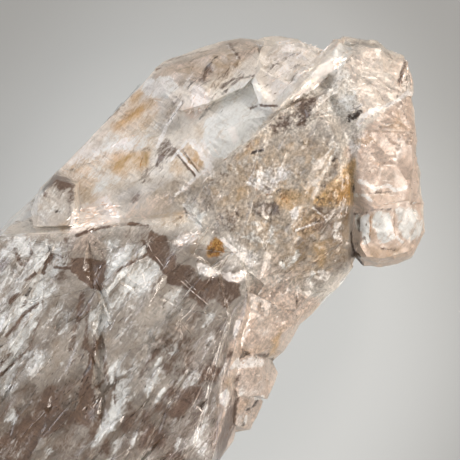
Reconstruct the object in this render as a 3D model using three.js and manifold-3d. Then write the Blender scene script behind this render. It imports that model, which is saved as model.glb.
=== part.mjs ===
// Himalayan quartz crystal, lying on its broad back face.
// Millimetres, +Z up. The growth axis runs along X, and the pointed end is at -X.
// The crystal is one solid: a broad main prism with its point at -X, and the thick body, lobes and
// stout crown that grew on its other end. Sheets and plates of growth stand on its front face. Etched
// channels, pits, shell-shaped fractures and a crack are cut into it, and its broken parts are crumpled.

import * as THREE from "three";
import { ConvexGeometry } from "three/addons/geometries/ConvexGeometry.js";
import { ImprovedNoise } from "three/addons/math/ImprovedNoise.js";
import { mergeVertices } from "three/addons/utils/BufferGeometryUtils.js";
import Module from "manifold-3d";

const wasm = await Module();
wasm.setup();

// Driving dimensions, in millimetres. X and Y are counted from a point near the front face's end.
const BACK = 0; // height of the flat back face that the crystal lies on
const RIM = 10.5; // height at which the sides are widest
const FRONT = 22; // height of the main prism's front face over X = Y = 0
const FRONT_TILT = -0.085; // climb of that face along +Y
const LONG_EDGE = 20.9; // how far the long straight side reaches along +Y
const SHOULDER = -45; // where the main prism starts to taper
const POINT = -66; // the tip of the main prism

const SHEET_RISE = [0.35, 0.3]; // thickness of the two broad growth sheets
const PLATE_RISE = [0.18, 0.42]; // thinnest and thickest growth plate
const CHANNEL_WIDTH = [0.35, 0.9]; // narrowest and widest etched channel
const PIT_SIZE = [0.5, 1.2]; // smallest and largest etch pit, from its middle to a corner
const CRACK_WIDTH = 0.9; // opening of the crack between the crown and the body

const GRAIN = { smooth: 8, rough: 3.2 }; // longest mesh edge on crystal faces and on broken parts
const CRUMPLE = { smooth: 0.1, rough: 0.7 }; // how far those surfaces are pushed in and out

const QUARTZ_COLOUR = 0xcdbfb4;
const QUARTZ_ROUGHNESS = 0.15;

const { lerp, smoothstep } = THREE.MathUtils;

// A solid from a closed three.js geometry.
function solidFrom(geometry) {
  const bare = geometry.clone();
  bare.deleteAttribute("normal");
  bare.deleteAttribute("uv");
  const merged = mergeVertices(bare, 1e-4);
  return new wasm.Manifold(
    new wasm.Mesh({
      numProp: 3,
      vertProperties: merged.getAttribute("position").array,
      triVerts: new Uint32Array(merged.index.array),
    }),
  );
}

// An indexed three.js geometry from a solid.
function geometryFrom(solid) {
  const { vertProperties, triVerts, numProp } = solid.getMesh();
  const count = vertProperties.length / numProp;
  const points = new Float32Array(count * 3);
  for (let i = 0; i < count; i++)
    points.set(vertProperties.subarray(i * numProp, i * numProp + 3), i * 3);
  return new THREE.BufferGeometry()
    .setAttribute("position", new THREE.BufferAttribute(points, 3))
    .setIndex(new THREE.BufferAttribute(triVerts, 1));
}

const fuse = (solids) => solids.reduce((whole, next) => whole.add(next));
const carve = (whole, tools) => tools.reduce((left, tool) => left.subtract(tool), whole);

// A flat-faced piece of crystal: the convex solid round its corners, each [x, y, z].
function block(...rings) {
  const corners = rings.flat().map(([x, y, z]) => new THREE.Vector3(x, y, z));
  return solidFrom(new ConvexGeometry(corners));
}

// Corners [x, y] put at one height.
const at = (z, corners) => corners.map(([x, y]) => [x, y, z]);

// Corners [x, y] put on the main prism's front face, or a little over it.
const onFront = (corners, over = 0) =>
  corners.map(([x, y]) => [x, y, FRONT + FRONT_TILT * y + over]);

// The main prism: a flattened six-sided crystal with its point at -X and a blunt chevron at +X.
function mainPrism() {
  const front = onFront([
    [-20, 20], [-2, 5], [-1.2, -2.6], [-4, -7], [-22, -17.4],
    [SHOULDER - 1, -14], [SHOULDER - 5, 1], [SHOULDER + 1, 17],
  ]);
  const rim = at(RIM, [
    [-19.4, LONG_EDGE + 0.3], [-3, 9], [1.5, -4], [-6, -10], [-14.7, -15.6],
    [-19, -18.3], [-24, -19], [SHOULDER, -17.5], [SHOULDER - 8, 3], [SHOULDER - 1, 19.8],
  ]);
  const back = at(BACK, [
    [-18, 13], [SHOULDER + 1, 12], [SHOULDER - 6, 2], [SHOULDER, -9.5],
    [-20, -10], [-4, -4], [-2, 6],
  ]);
  const wedge = [[-12.6, LONG_EDGE, RIM - 4]];
  const point = [[POINT, -1.2, RIM - 1], [POINT + 0.4, 3, RIM + 1.6]];
  return block(front, rim, back, wedge, point);
}

// The two broad sheets of growth on the front face, one on the other.
function growthSheets() {
  const sheet = (outline, from, rise) => {
    const inset = outline.map(([x, y]) => [lerp(x, -25, 0.02), lerp(y, 2, 0.03)]);
    return block(onFront(outline, from - 1), onFront(outline, from), onFront(inset, from + rise));
  };
  const lower = [
    [-21, 17.6], [-5.4, 4.4], [-4.4, -2.4], [-7.6, -7.4], [-22, -14.8],
    [SHOULDER + 1, -12.4], [SHOULDER - 2, 1], [SHOULDER + 3, 14.6],
  ];
  const upper = [
    [-25, 13.4], [-14, 6], [-11, -1.6], [-16, -8], [-30, -11.6], [-38, -9], [-44, 0], [-39, 9],
  ];
  return fuse([sheet(lower, 0, SHEET_RISE[0]), sheet(upper, SHEET_RISE[0], SHEET_RISE[1])]);
}

// The thick body behind the main prism, with the long straight edge at +Y.
function upperBody() {
  const rim = at(RIM - 0.5, [
    [-14, LONG_EDGE], [9, LONG_EDGE - 0.4], [15.4, 16], [19.3, 12], [24, 6], [25, -3],
    [18, -9], [6.4, -14.8], [-5.4, -13.7], [-16, -8],
  ]);
  const front = [
    [-8.6, 10.6, 19.8], [3, 9.4, 20.6], [11, 8, 20.8], [19, 5.2, 20], [21, 0, 19.6],
    [18, -4.6, 19.4], [7, -10, 18.6], [-3, -9.8, 19.2], [-7, 0, 20.6],
  ];
  const back = at(BACK, [
    [-12, 12], [6, 13], [15, 9], [19, 2], [13, -6], [4, -9], [-6, -9], [-12, -4],
  ]);
  return block(rim, front, back);
}

// The lobe at the top: a plain half and a feathery, fractured half.
function topLobe() {
  const plain = block(
    [
      [8.3, 20.6, 12], [9.8, 20.6, 9], [11.3, 19.6, 8], [15, 17.4, 8], [16.7, 17.1, 9],
      [20.3, 13.5, 9],
    ],
    [
      [7, 17.4, 15.6], [9.6, 18.4, 14.8], [14.8, 15.8, 16], [18.6, 12.8, 16.6], [17.4, 10.6, 18.8],
      [14, 10.8, 19.4], [9.6, 12.6, 19], [6.6, 14.4, 17.6],
    ],
    [[9, 16, 4], [15, 14, 3], [17, 8, 3], [8, 10, 4]],
  );
  const feathery = block(
    [[19, 14.4, 8], [20.6, 13.4, 9], [22.8, 11, 8], [23.4, 9.6, 9], [24.6, 7, 9.6]],
    [
      [19.4, 12.6, 17.4], [22, 9.8, 16.8], [23.6, 7, 16.4], [22, 6.1, 18.6], [18.8, 5.8, 20.2],
      [14.4, 5.8, 21], [13.4, 7.4, 20.6], [15, 10.2, 19.6],
    ],
    [[18, 10, 3], [22, 7, 3], [16, 4, 3]],
  );
  return fuse([plain, feathery]);
}

// The rough swelling in the middle, the highest part of the body, and its shoulder down to -Y.
function middleSwelling() {
  const swelling = block(
    at(RIM, [[-4, 6], [12, 5.5], [21, 3], [17, -6], [6, -13], [-4, -12], [-7, -4]]),
    [
      [-1.6, 5, 22], [2.6, 6.4, 22.2], [12, 5.7, 22.6], [17.8, 4.6, 22], [18.8, -1.6, 21.4],
      [13, -7, 20.8], [3.6, -8.6, 20.8], [-2, -6.8, 21.4], [-2.4, -2, 22],
    ],
  );
  const shoulder = block(
    [[8.6, -13.4, RIM], [6.4, -15, RIM - 1], [-2.4, -14.5, RIM - 1], [-5.4, -14.1, RIM]],
    [
      [16, -5.2, 20.8], [10.2, -11.2, 18.8], [7, -13, 16.4], [-1.6, -12.8, 16.2],
      [-4, -8, 20], [3, -6, 21],
    ],
  );
  return fuse([swelling, shoulder]);
}

// The clear blade that runs up the ridge to the crown, and a splinter beside it.
function ridgeBlade() {
  const blade = block([
    [27.4, 5.9, 13], [26.4, 6.4, 16.4], [24.6, 4, 19], [20.6, 7, 18.6], [14.4, 7.4, 20],
    [20, 3.6, 20], [25.4, 5.2, 19.8], [19.4, 5.8, 22.2], [14.2, 5.9, 22.4], [15.4, 4.6, 21],
  ]);
  const splinter = block([
    [24, 3.2, 20.6], [18, 3.8, 22.2], [13.4, 3.2, 22.4], [17.6, 2.2, 22.4], [23, 1.6, 21],
    [18, 3.2, 19],
  ]);
  return fuse([blade, splinter]);
}

// The crown at +X: a head, a shaft and a foot of stout crystal that stand across the end.
function crown() {
  const head = block(
    [
      [24.4, 6.4, 10], [26.2, 6.4, 12], [27.5, 6.2, 9], [28.8, 4.8, 8], [29.7, 2.9, 8],
      [30.5, 0.4, 8], [30.9, -1.2, 9], [30.3, -3, 8], [28, -5.2, 9], [18.6, -3.5, 9],
    ],
    [
      [25.8, 4.4, 19.6], [28.2, 2.6, 18.8], [29.4, 0, 18], [29.2, -2.4, 18], [26.8, -4.4, 19.4],
      [23.6, -5.8, 20.6], [19.4, -3.2, 21.2], [20.2, 1, 21.8], [22.4, 3.4, 21.2],
    ],
    [[20, 3, 2], [26, 2, 3], [27, -2, 3], [20, -4, 2]],
  );
  const shaft = block(
    [
      [29, -3.6, 9], [27.7, -5.4, 8], [25.1, -8.5, 8], [23.6, -10.4, 9], [21.5, -12.3, 8],
      [18.8, -15.3, 9], [12.4, -9.6, 9],
    ],
    [
      [26.4, -4.6, 19.2], [24, -8.2, 19], [21, -11, 18.6], [17.4, -14.2, 17.8], [12.6, -9.8, 19.6],
      [16.2, -5.6, 20.8], [18.8, -3.2, 21.4],
    ],
    [[14, -8, 2], [22, -6, 3], [20, -10, 3], [16, -12, 3]],
  );
  const foot = block(
    [
      [19.6, -13.8, 9], [18.5, -15.7, 8], [17.7, -16.9, 9], [16.5, -18, 8], [14.8, -18.6, 9],
      [13, -19.1, 8], [11.3, -18.2, 9], [8.2, -15.4, 8], [8.4, -13.6, 10], [9.6, -12, 10],
    ],
    [
      [17.6, -13.6, 18.4], [16.6, -16, 16.8], [13.2, -17.8, 15.4], [11.4, -17, 16.4],
      [9, -14.6, 17.8], [9.8, -12, 19], [12.4, -9.8, 19.6],
    ],
    [[12, -11, 2], [15, -15, 3], [11, -14, 3]],
  );
  return fuse([head, shaft, foot]);
}

// The knobbly lobe on the -Y side, beside the main prism.
function sideLobe() {
  const upper = block(
    [[-2.2, -14.4, 9], [-5.5, -14.6, 8], [-6.6, -15.3, 9], [-8.4, -15, 9], [-12, -10, 8]],
    [
      [-4, -6.4, 20.8], [-3, -10, 19.2], [-2.4, -12.8, 16.6], [-6.8, -13.8, 15.2],
      [-9.4, -12.4, 17.8], [-10, -8.8, 20.6],
    ],
    [[-3, -9, 3], [-8, -10, 3]],
  );
  const lower = block(
    [[-8.4, -15, 10], [-9.5, -16.3, 9], [-10.8, -17.3, 8], [-12.3, -18, 9], [-14, -13, 8]],
    [
      [-9.2, -12.2, 18.6], [-10.6, -15.6, 15.4], [-12.6, -16.8, 14.4], [-14.4, -14.8, 17],
      [-12.6, -11.6, 19.8],
    ],
    [[-9, -12, 3], [-13, -13, 3]],
  );
  const heel = block(
    [[-13, -17.6, 9], [-15, -18.7, 7], [-16.7, -19, 8], [-18.2, -17.8, 8], [-16, -13, 7]],
    [[-13.2, -16, 14.6], [-16, -17.2, 13], [-17.4, -16.6, 13.6], [-15, -13.6, 16.6]],
    [[-14, -13, 3]],
  );
  return fuse([upper, lower, heel]);
}

// The dark stub of crystal on the long edge.
function edgeStub() {
  return block(
    at(RIM - 1, [[-17, 19.6], [-12.4, 21.1], [-9.3, 21], [-8.2, 18], [-13, 13]]),
    [
      [-15.8, 17.6, 20.6], [-12.8, 19.9, 19.6], [-10, 19.8, 18.6], [-8.8, 17.6, 19.2],
      [-12.6, 14.4, 21.3],
    ],
  );
}

// A repeatable random number between two others.
let draws = 12;
const between = (low, high) => lerp(low, high, THREE.MathUtils.seededRandom(draws++));

// A function that finds the point of a solid's surface met from outside, against the way it faces.
function surveyOf(solid) {
  const mesh = new THREE.Mesh(geometryFrom(solid), new THREE.MeshBasicMaterial());
  const ray = new THREE.Raycaster();
  return (place, facing) => {
    ray.set(place.clone().addScaledVector(facing, 60), facing.clone().negate());
    return ray.intersectObject(mesh)[0].point;
  };
}

// A function (u, v, lift) that gives points round a place on the surface: u along the grain,
// v across it, and lift outwards from the surface there.
function patchAt(find, place, facing = [0, 0, 1], grain = [1, 0, 0]) {
  const out = new THREE.Vector3(...facing).normalize();
  const across = new THREE.Vector3(...grain).cross(out).normalize().negate();
  const along = out.clone().cross(across).negate();
  return (u, v, lift) => {
    const near = new THREE.Vector3(...place).addScaledVector(along, u).addScaledVector(across, v);
    return find(near, out).addScaledVector(out, lift).toArray();
  };
}

// How far inside the front face's edges a point is, where that is under 15 or so.
function fromFrontEdge(x, y) {
  const chevron = 2.5 - 0.64 * x - 0.77 * y;
  const lobeSide = 4 - 0.5 * x + 0.87 * y;
  return Math.min(chevron, lobeSide, -1 - x, y + 16.5, 19 - y, x - SHOULDER + 2);
}

// A growth plate: a thin slab with long, pointed ends, drawn out along the grain.
function growthPlate(patch, long, wide) {
  const corners = [
    [-0.5, 0], [-0.28, -0.36], [0.06, -0.5], [0.36, -0.26], [0.5, 0.06], [0.22, 0.42], [-0.16, 0.46],
  ];
  const outline = corners.map(([u, v]) => [u * long * between(0.8, 1.1), v * wide * between(0.6, 1.2)]);
  const ring = (share, lift) => outline.map(([u, v]) => patch(u * share, v * share, lift));
  return block(ring(1, -0.8), ring(1, 0), ring(0.86, between(...PLATE_RISE)));
}

// Plates all over the front face, on the upper face of the point and on the long sides.
function growthPlates(find) {
  const plates = [];
  for (let row = 0; row < 8; row++)
    for (let step = 0; step < 5; step++) {
      const place = [SHOULDER + 3 + step * 9.4 + between(-4, 4), -14 + row * 4.1 + between(-1, 1), FRONT];
      const grain = [1, between(-0.06, 0.12), 0];
      if (fromFrontEdge(...place) > 4)
        plates.push(growthPlate(patchAt(find, place, [0, 0, 1], grain), between(5, 13), between(1.2, 3.4)));
    }
  const pointFace = [-0.58, 0, 0.81];
  for (const [x, y] of [[-53.4, 2.6], [-56.6, -0.8], [-59, 2.4]])
    plates.push(growthPlate(patchAt(find, [x, y, 16], pointFace), between(3.6, 5), between(2, 3)));
  for (const [x, z, side] of [[-38, 15, 1], [-29, 17.4, 1], [-33, 12.6, 1], [-40, 16, -1], [-30, 13.4, -1]])
    plates.push(growthPlate(patchAt(find, [x, 0, z], [0, side, 0]), between(6, 11), between(1.4, 2.6)));
  for (const [x, y] of [[-42, 15], [-30, 16], [-22, 16], [-38, -13], [-27, -14], [-4, 16], [4, 16]])
    plates.push(growthPlate(patchAt(find, [x, y, 5], [0, y, -12]), between(6, 10), between(1.4, 2.6)));
  return fuse(plates);
}

// An etched channel along the grain: a V that is deepest in its middle part and dies out at its ends.
function channel(patch, long, width, depth) {
  const end = long / 2;
  return block(
    [patch(-end, 0, 0.02), patch(end, 0, 0.02), patch(-end, 0, 2), patch(end, 0, 2)],
    [-width / 2, width / 2].flatMap((v) => [patch(-0.1 * long, v, 0.05), patch(-0.1 * long, v, 2)]),
    [patch(-0.18 * long, 0.06 * width, -depth), patch(0.14 * long, -0.1 * width, -depth)],
  );
}

// A broad crooked vein across the front face, narrow channels along it, and some on the long sides.
function channels(find) {
  const vein = [
    [-14.6, 9.6, 50, 2.2], [-16.4, 6, 66, 1.5], [-18.8, 4, 38, 2.4], [-21.4, 1.6, 44, 1.8],
    [-24, -0.4, 60, 2.2], [-26.4, -3.4, 40, 1.4],
  ];
  const cut = vein.map(([x, y, degrees, width]) => {
    const turn = THREE.MathUtils.degToRad(degrees);
    const patch = patchAt(find, [x, y, FRONT], [0, 0, 1], [Math.cos(turn), Math.sin(turn), 0]);
    return channel(patch, 6.4, width, 0.45 * width);
  });
  for (let i = 0; i < 20; i++) {
    const place = [between(SHOULDER, -4), between(-14, 16), FRONT];
    const [long, width] = [between(2.5, 8), between(...CHANNEL_WIDTH)];
    const patch = patchAt(find, place, [0, 0, 1], [1, between(-0.1, 0.2), 0]);
    if (fromFrontEdge(...place) > long / 2 + 1) cut.push(channel(patch, long, width, width * 0.8));
  }
  for (let i = 0; i < 10; i++) {
    const place = [between(-43, -26), 0, between(12.5, 19)];
    const [long, width] = [between(5, 12), between(...CHANNEL_WIDTH)];
    cut.push(channel(patchAt(find, place, [0, i % 2 ? 1 : -1, 0]), long, width, width * 0.6));
  }
  return cut;
}

// An etch pit: an upside-down three-sided pyramid.
function pit(patch) {
  const [size, turn] = [between(...PIT_SIZE), between(-0.3, 0.3)];
  const ring = (lift) => [0, 1, 2]
    .map((k) => turn + (k * 2 * Math.PI) / 3)
    .map((angle) => patch(size * Math.cos(angle), 0.6 * size * Math.sin(angle), lift));
  return block(ring(0.02), ring(2), [patch(0, 0, -0.6 * size)]);
}

function pits(find) {
  const places = [
    [-33, 10], [-28.5, 12.6], [-41, -4], [-36, -8.6], [-18, -12], [-12, -7.6], [-23, 7.4], [-8, 1.6],
    [-31, 1.2], [-16.4, -2.2], [-26, -13], [-42.6, 8],
  ];
  return places.map(([x, y]) => pit(patchAt(find, [x, y, FRONT])));
}

// A shell-shaped fracture: a shallow bowl, as a blow leaves in glass. The rings in it crowd together
// towards the side that the blow came from, which is at the angle from.
function shellFracture(find, [x, y, z], radius, facing, from) {
  const depth = 0.17 * radius;
  const profile = [new THREE.Vector2(0, -depth)];
  for (const [share, wave] of [[0.34, 0.18], [0.54, -0.06], [0.78, 0.14]])
    profile.push(new THREE.Vector2(radius * share, depth * (wave - 1 + share * share)));
  profile.push(new THREE.Vector2(radius, 0.05), new THREE.Vector2(radius, radius));
  profile.push(new THREE.Vector2(0, radius));
  const bowl = new THREE.LatheGeometry(profile, 11);
  const corners = bowl.getAttribute("position");
  for (let i = 0; i < corners.count; i++) {
    const inner = radius - Math.hypot(corners.getX(i), corners.getZ(i));
    corners.setX(i, 1.3 * (corners.getX(i) + 0.6 * inner));
  }
  bowl.rotateY(from);
  const out = new THREE.Vector3(...facing).normalize();
  bowl.applyQuaternion(new THREE.Quaternion().setFromUnitVectors(new THREE.Vector3(0, 1, 0), out));
  bowl.translate(...find(new THREE.Vector3(x, y, z), out));
  return solidFrom(bowl);
}

function shellFractures(find) {
  return [
    shellFracture(find, [20.2, 8.6, 18], 3.4, [0.4, 0.5, 1], 2.4),
    shellFracture(find, [29, -0.6, 16], 2.8, [1, 0, 0.9], 1),
    shellFracture(find, [-3.4, 15.6, 15], 3.8, [0, 0.95, 1], -1.2),
    shellFracture(find, [3.4, 16.6, 14], 2.6, [0.1, 0.95, 1], -1.6),
    shellFracture(find, [13, 14.8, 16], 2.2, [0.2, 0.9, 1], -0.8),
    shellFracture(find, [2, -12.4, 17], 2.4, [0, -0.8, 1], 1.7),
    shellFracture(find, [-12, -14, 5], 3.4, [0, -1, -0.6], 0.4),
    shellFracture(find, [-36, 15, 5], 3.8, [0, 1, -0.9], 2.2),
  ];
}

// The dark crack between the crown and the body: a narrow cut from over the surface to a depth.
function crack() {
  const [x1, y1, x2, y2] = [14.6, -7.2, 6.6, -15];
  const half = 0.36 * CRACK_WIDTH;
  const opening = [
    [x1, y1], [x2 - half, y2 + half], [x2 + half, y2 - half],
    [(x1 + x2) / 2 - half, (y1 + y2) / 2 + half], [(x1 + x2) / 2 + half, (y1 + y2) / 2 - half],
  ];
  return block(at(2 * FRONT, opening), at(19, opening), [[x1 - 1.5, y1 - 1.5, 17], [x2, y2, 11]]);
}

// Splits every edge that is longer than longest(its middle) until none is left.
// Neighbouring triangles share the new points, so the surface stays closed.
function splitLongEdges(points, triangles, longest) {
  let current = triangles;
  let more = true;
  while (more) {
    more = false;
    const middles = new Map();
    const middleOf = (a, b) => {
      const key = a < b ? `${a} ${b}` : `${b} ${a}`;
      if (!middles.has(key)) {
        const middle = points[a].clone().lerp(points[b], 0.5);
        const tooLong = points[a].distanceTo(points[b]) > longest(middle);
        middles.set(key, tooLong ? points.push(middle) - 1 : null);
        more ||= tooLong;
      }
      return middles.get(key);
    };
    current = current.flatMap(([a, b, c]) =>
      splitTriangle([a, b, c], [middleOf(a, b), middleOf(b, c), middleOf(c, a)]));
  }
  return current;
}

// The triangles that one triangle becomes, given the middle of each edge or null where it stays whole.
function splitTriangle([a, b, c], [ab, bc, ca]) {
  const split = [ab, bc, ca].filter((middle) => middle !== null).length;
  if (split === 0) return [[a, b, c]];
  if (split === 3) return [[a, ab, ca], [ab, b, bc], [ca, bc, c], [ab, bc, ca]];
  if (ab === null || (split === 2 && bc === null)) return splitTriangle([b, c, a], [bc, ca, ab]);
  return split === 1 ? [[a, ab, c], [ab, b, c]] : [[a, ab, c], [ab, b, bc], [ab, bc, c]];
}

// How broken the surface is, from 0 on crystal faces to 1 on the swelling, the lobes and the crown.
function roughness({ x, y, z }) {
  const beyondPrism = smoothstep(x - y, -8, 8);
  const lobe = 0.6 * smoothstep(x, 8, 12) * smoothstep(y, 9, 13);
  const clearFace = smoothstep(Math.hypot((x - 8) / 7, (y - 11) / 5), 0.4, 1.2);
  return Math.max(beyondPrism * clearFace, lobe) * smoothstep(z, 4, 9);
}

// The solid's surface in small facets, pushed in and out most where it is broken.
function crumpled(solid) {
  const start = geometryFrom(solid);
  const position = start.getAttribute("position");
  const points = [];
  for (let i = 0; i < position.count; i++)
    points.push(new THREE.Vector3().fromBufferAttribute(position, i));
  const corners = [...start.index.array];
  const triangles = [];
  for (let i = 0; i < corners.length; i += 3) triangles.push(corners.slice(i, i + 3));
  const longest = (point) => lerp(GRAIN.smooth, GRAIN.rough, roughness(point));
  const fine = splitLongEdges(points, triangles, longest);

  const facets = new THREE.BufferGeometry().setFromPoints(points).setIndex(fine.flat());
  facets.computeVertexNormals();
  const normals = facets.getAttribute("normal");
  const noise = new ImprovedNoise();
  const moved = points.map((p, i) => {
    if (p.z < BACK + 0.01) return p;
    const broad = noise.noise(p.x / 3.1, p.y / 2.3, p.z / 2.6);
    const narrow = noise.noise(p.x / 1.3, p.y / 1.1, p.z / 1.2);
    const push = lerp(CRUMPLE.smooth, CRUMPLE.rough, roughness(p)) * (broad + 0.6 * narrow);
    const q = new THREE.Vector3().fromBufferAttribute(normals, i).multiplyScalar(push).add(p);
    q.z = Math.max(q.z, BACK + 0.05);
    return q;
  });
  return facets.setFromPoints(moved);
}

const grown = fuse([
  mainPrism(), growthSheets(), upperBody(), topLobe(), middleSwelling(), ridgeBlade(), crown(),
  sideLobe(), edgeStub(),
]);
const plated = grown.add(growthPlates(surveyOf(grown)));
const surface = surveyOf(plated);
const etched = carve(plated, [
  ...channels(surface), ...pits(surface), ...shellFractures(surface), crack(),
]);

const quartz = new THREE.MeshStandardMaterial({
  color: QUARTZ_COLOUR,
  roughness: QUARTZ_ROUGHNESS,
  metalness: 0,
});
const crystal = new THREE.Mesh(crumpled(etched), quartz);
crystal.name = "quartz_crystal";

// The part's origin is under the middle of the crystal's outline.
crystal.geometry.computeBoundingBox();
const middle = crystal.geometry.boundingBox.getCenter(new THREE.Vector3());
crystal.position.set(-middle.x, -middle.y, 0);

const part = new THREE.Group();
part.add(crystal);
export default part;
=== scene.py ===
import math

import bpy
import numpy as np
from bpy.props import FloatProperty, FloatVectorProperty, PointerProperty
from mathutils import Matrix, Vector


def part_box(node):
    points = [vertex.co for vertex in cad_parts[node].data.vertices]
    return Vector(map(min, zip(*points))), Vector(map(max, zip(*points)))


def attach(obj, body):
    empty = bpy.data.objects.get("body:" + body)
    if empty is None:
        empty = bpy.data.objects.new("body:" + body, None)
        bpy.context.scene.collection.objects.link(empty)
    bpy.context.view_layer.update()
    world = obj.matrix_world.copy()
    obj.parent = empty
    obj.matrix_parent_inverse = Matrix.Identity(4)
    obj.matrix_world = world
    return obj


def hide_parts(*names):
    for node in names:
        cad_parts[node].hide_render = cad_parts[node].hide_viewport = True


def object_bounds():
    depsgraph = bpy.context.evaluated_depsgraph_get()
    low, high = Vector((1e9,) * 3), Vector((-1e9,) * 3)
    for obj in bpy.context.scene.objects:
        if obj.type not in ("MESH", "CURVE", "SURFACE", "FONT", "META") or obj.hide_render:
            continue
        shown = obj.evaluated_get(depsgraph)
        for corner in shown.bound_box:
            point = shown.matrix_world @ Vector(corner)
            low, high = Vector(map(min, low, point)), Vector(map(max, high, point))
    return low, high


bl_info = {
    "name": "Himalayan quartz crystal",
    "version": (1, 0, 0),
    "blender": (4, 5, 0),
    "location": "3D View > Sidebar > Quartz",
    "description": "Dresses the packed quartz crystal with its grown faces, fractures and iron stains",
    "category": "Object",
}

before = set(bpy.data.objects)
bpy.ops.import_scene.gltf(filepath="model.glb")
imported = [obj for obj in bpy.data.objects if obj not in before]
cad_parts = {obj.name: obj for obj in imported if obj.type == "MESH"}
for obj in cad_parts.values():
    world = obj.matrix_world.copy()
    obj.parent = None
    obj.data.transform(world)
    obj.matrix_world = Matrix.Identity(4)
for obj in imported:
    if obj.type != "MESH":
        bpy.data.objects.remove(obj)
CAD_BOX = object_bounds()
CRYSTAL = "quartz_crystal"
BODY = "root"
MM = 0.001

# The script works in millimetres along the crystal: x runs up its long axis, y across it, and the zero
# is the middle of the photograph, which lies this far inside the CAD box's high corner.
PICTURE_INSET = (30.81, 21.22)
PICTURE_WIDTH = 460
PICTURE_SCALE = 0.125
PICTURE_ROLL = 47.0
# The step beside the crown is evened out this far from it in mm, fading over the ease, in so many turns
STEP_REACH = 2.3
STEP_EASE = 0.9
STEP_TURNS = 90
FACE_LIMIT = 199000
# The white frost tint also serves as painted highlight, the clear tint whitens some highlights, and the
# near-black ink also paints the shade in the crack by the head
TINTS = ("deep", "blush", "clear", "gold", "smoke", "iron", "frost", "ink")
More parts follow.
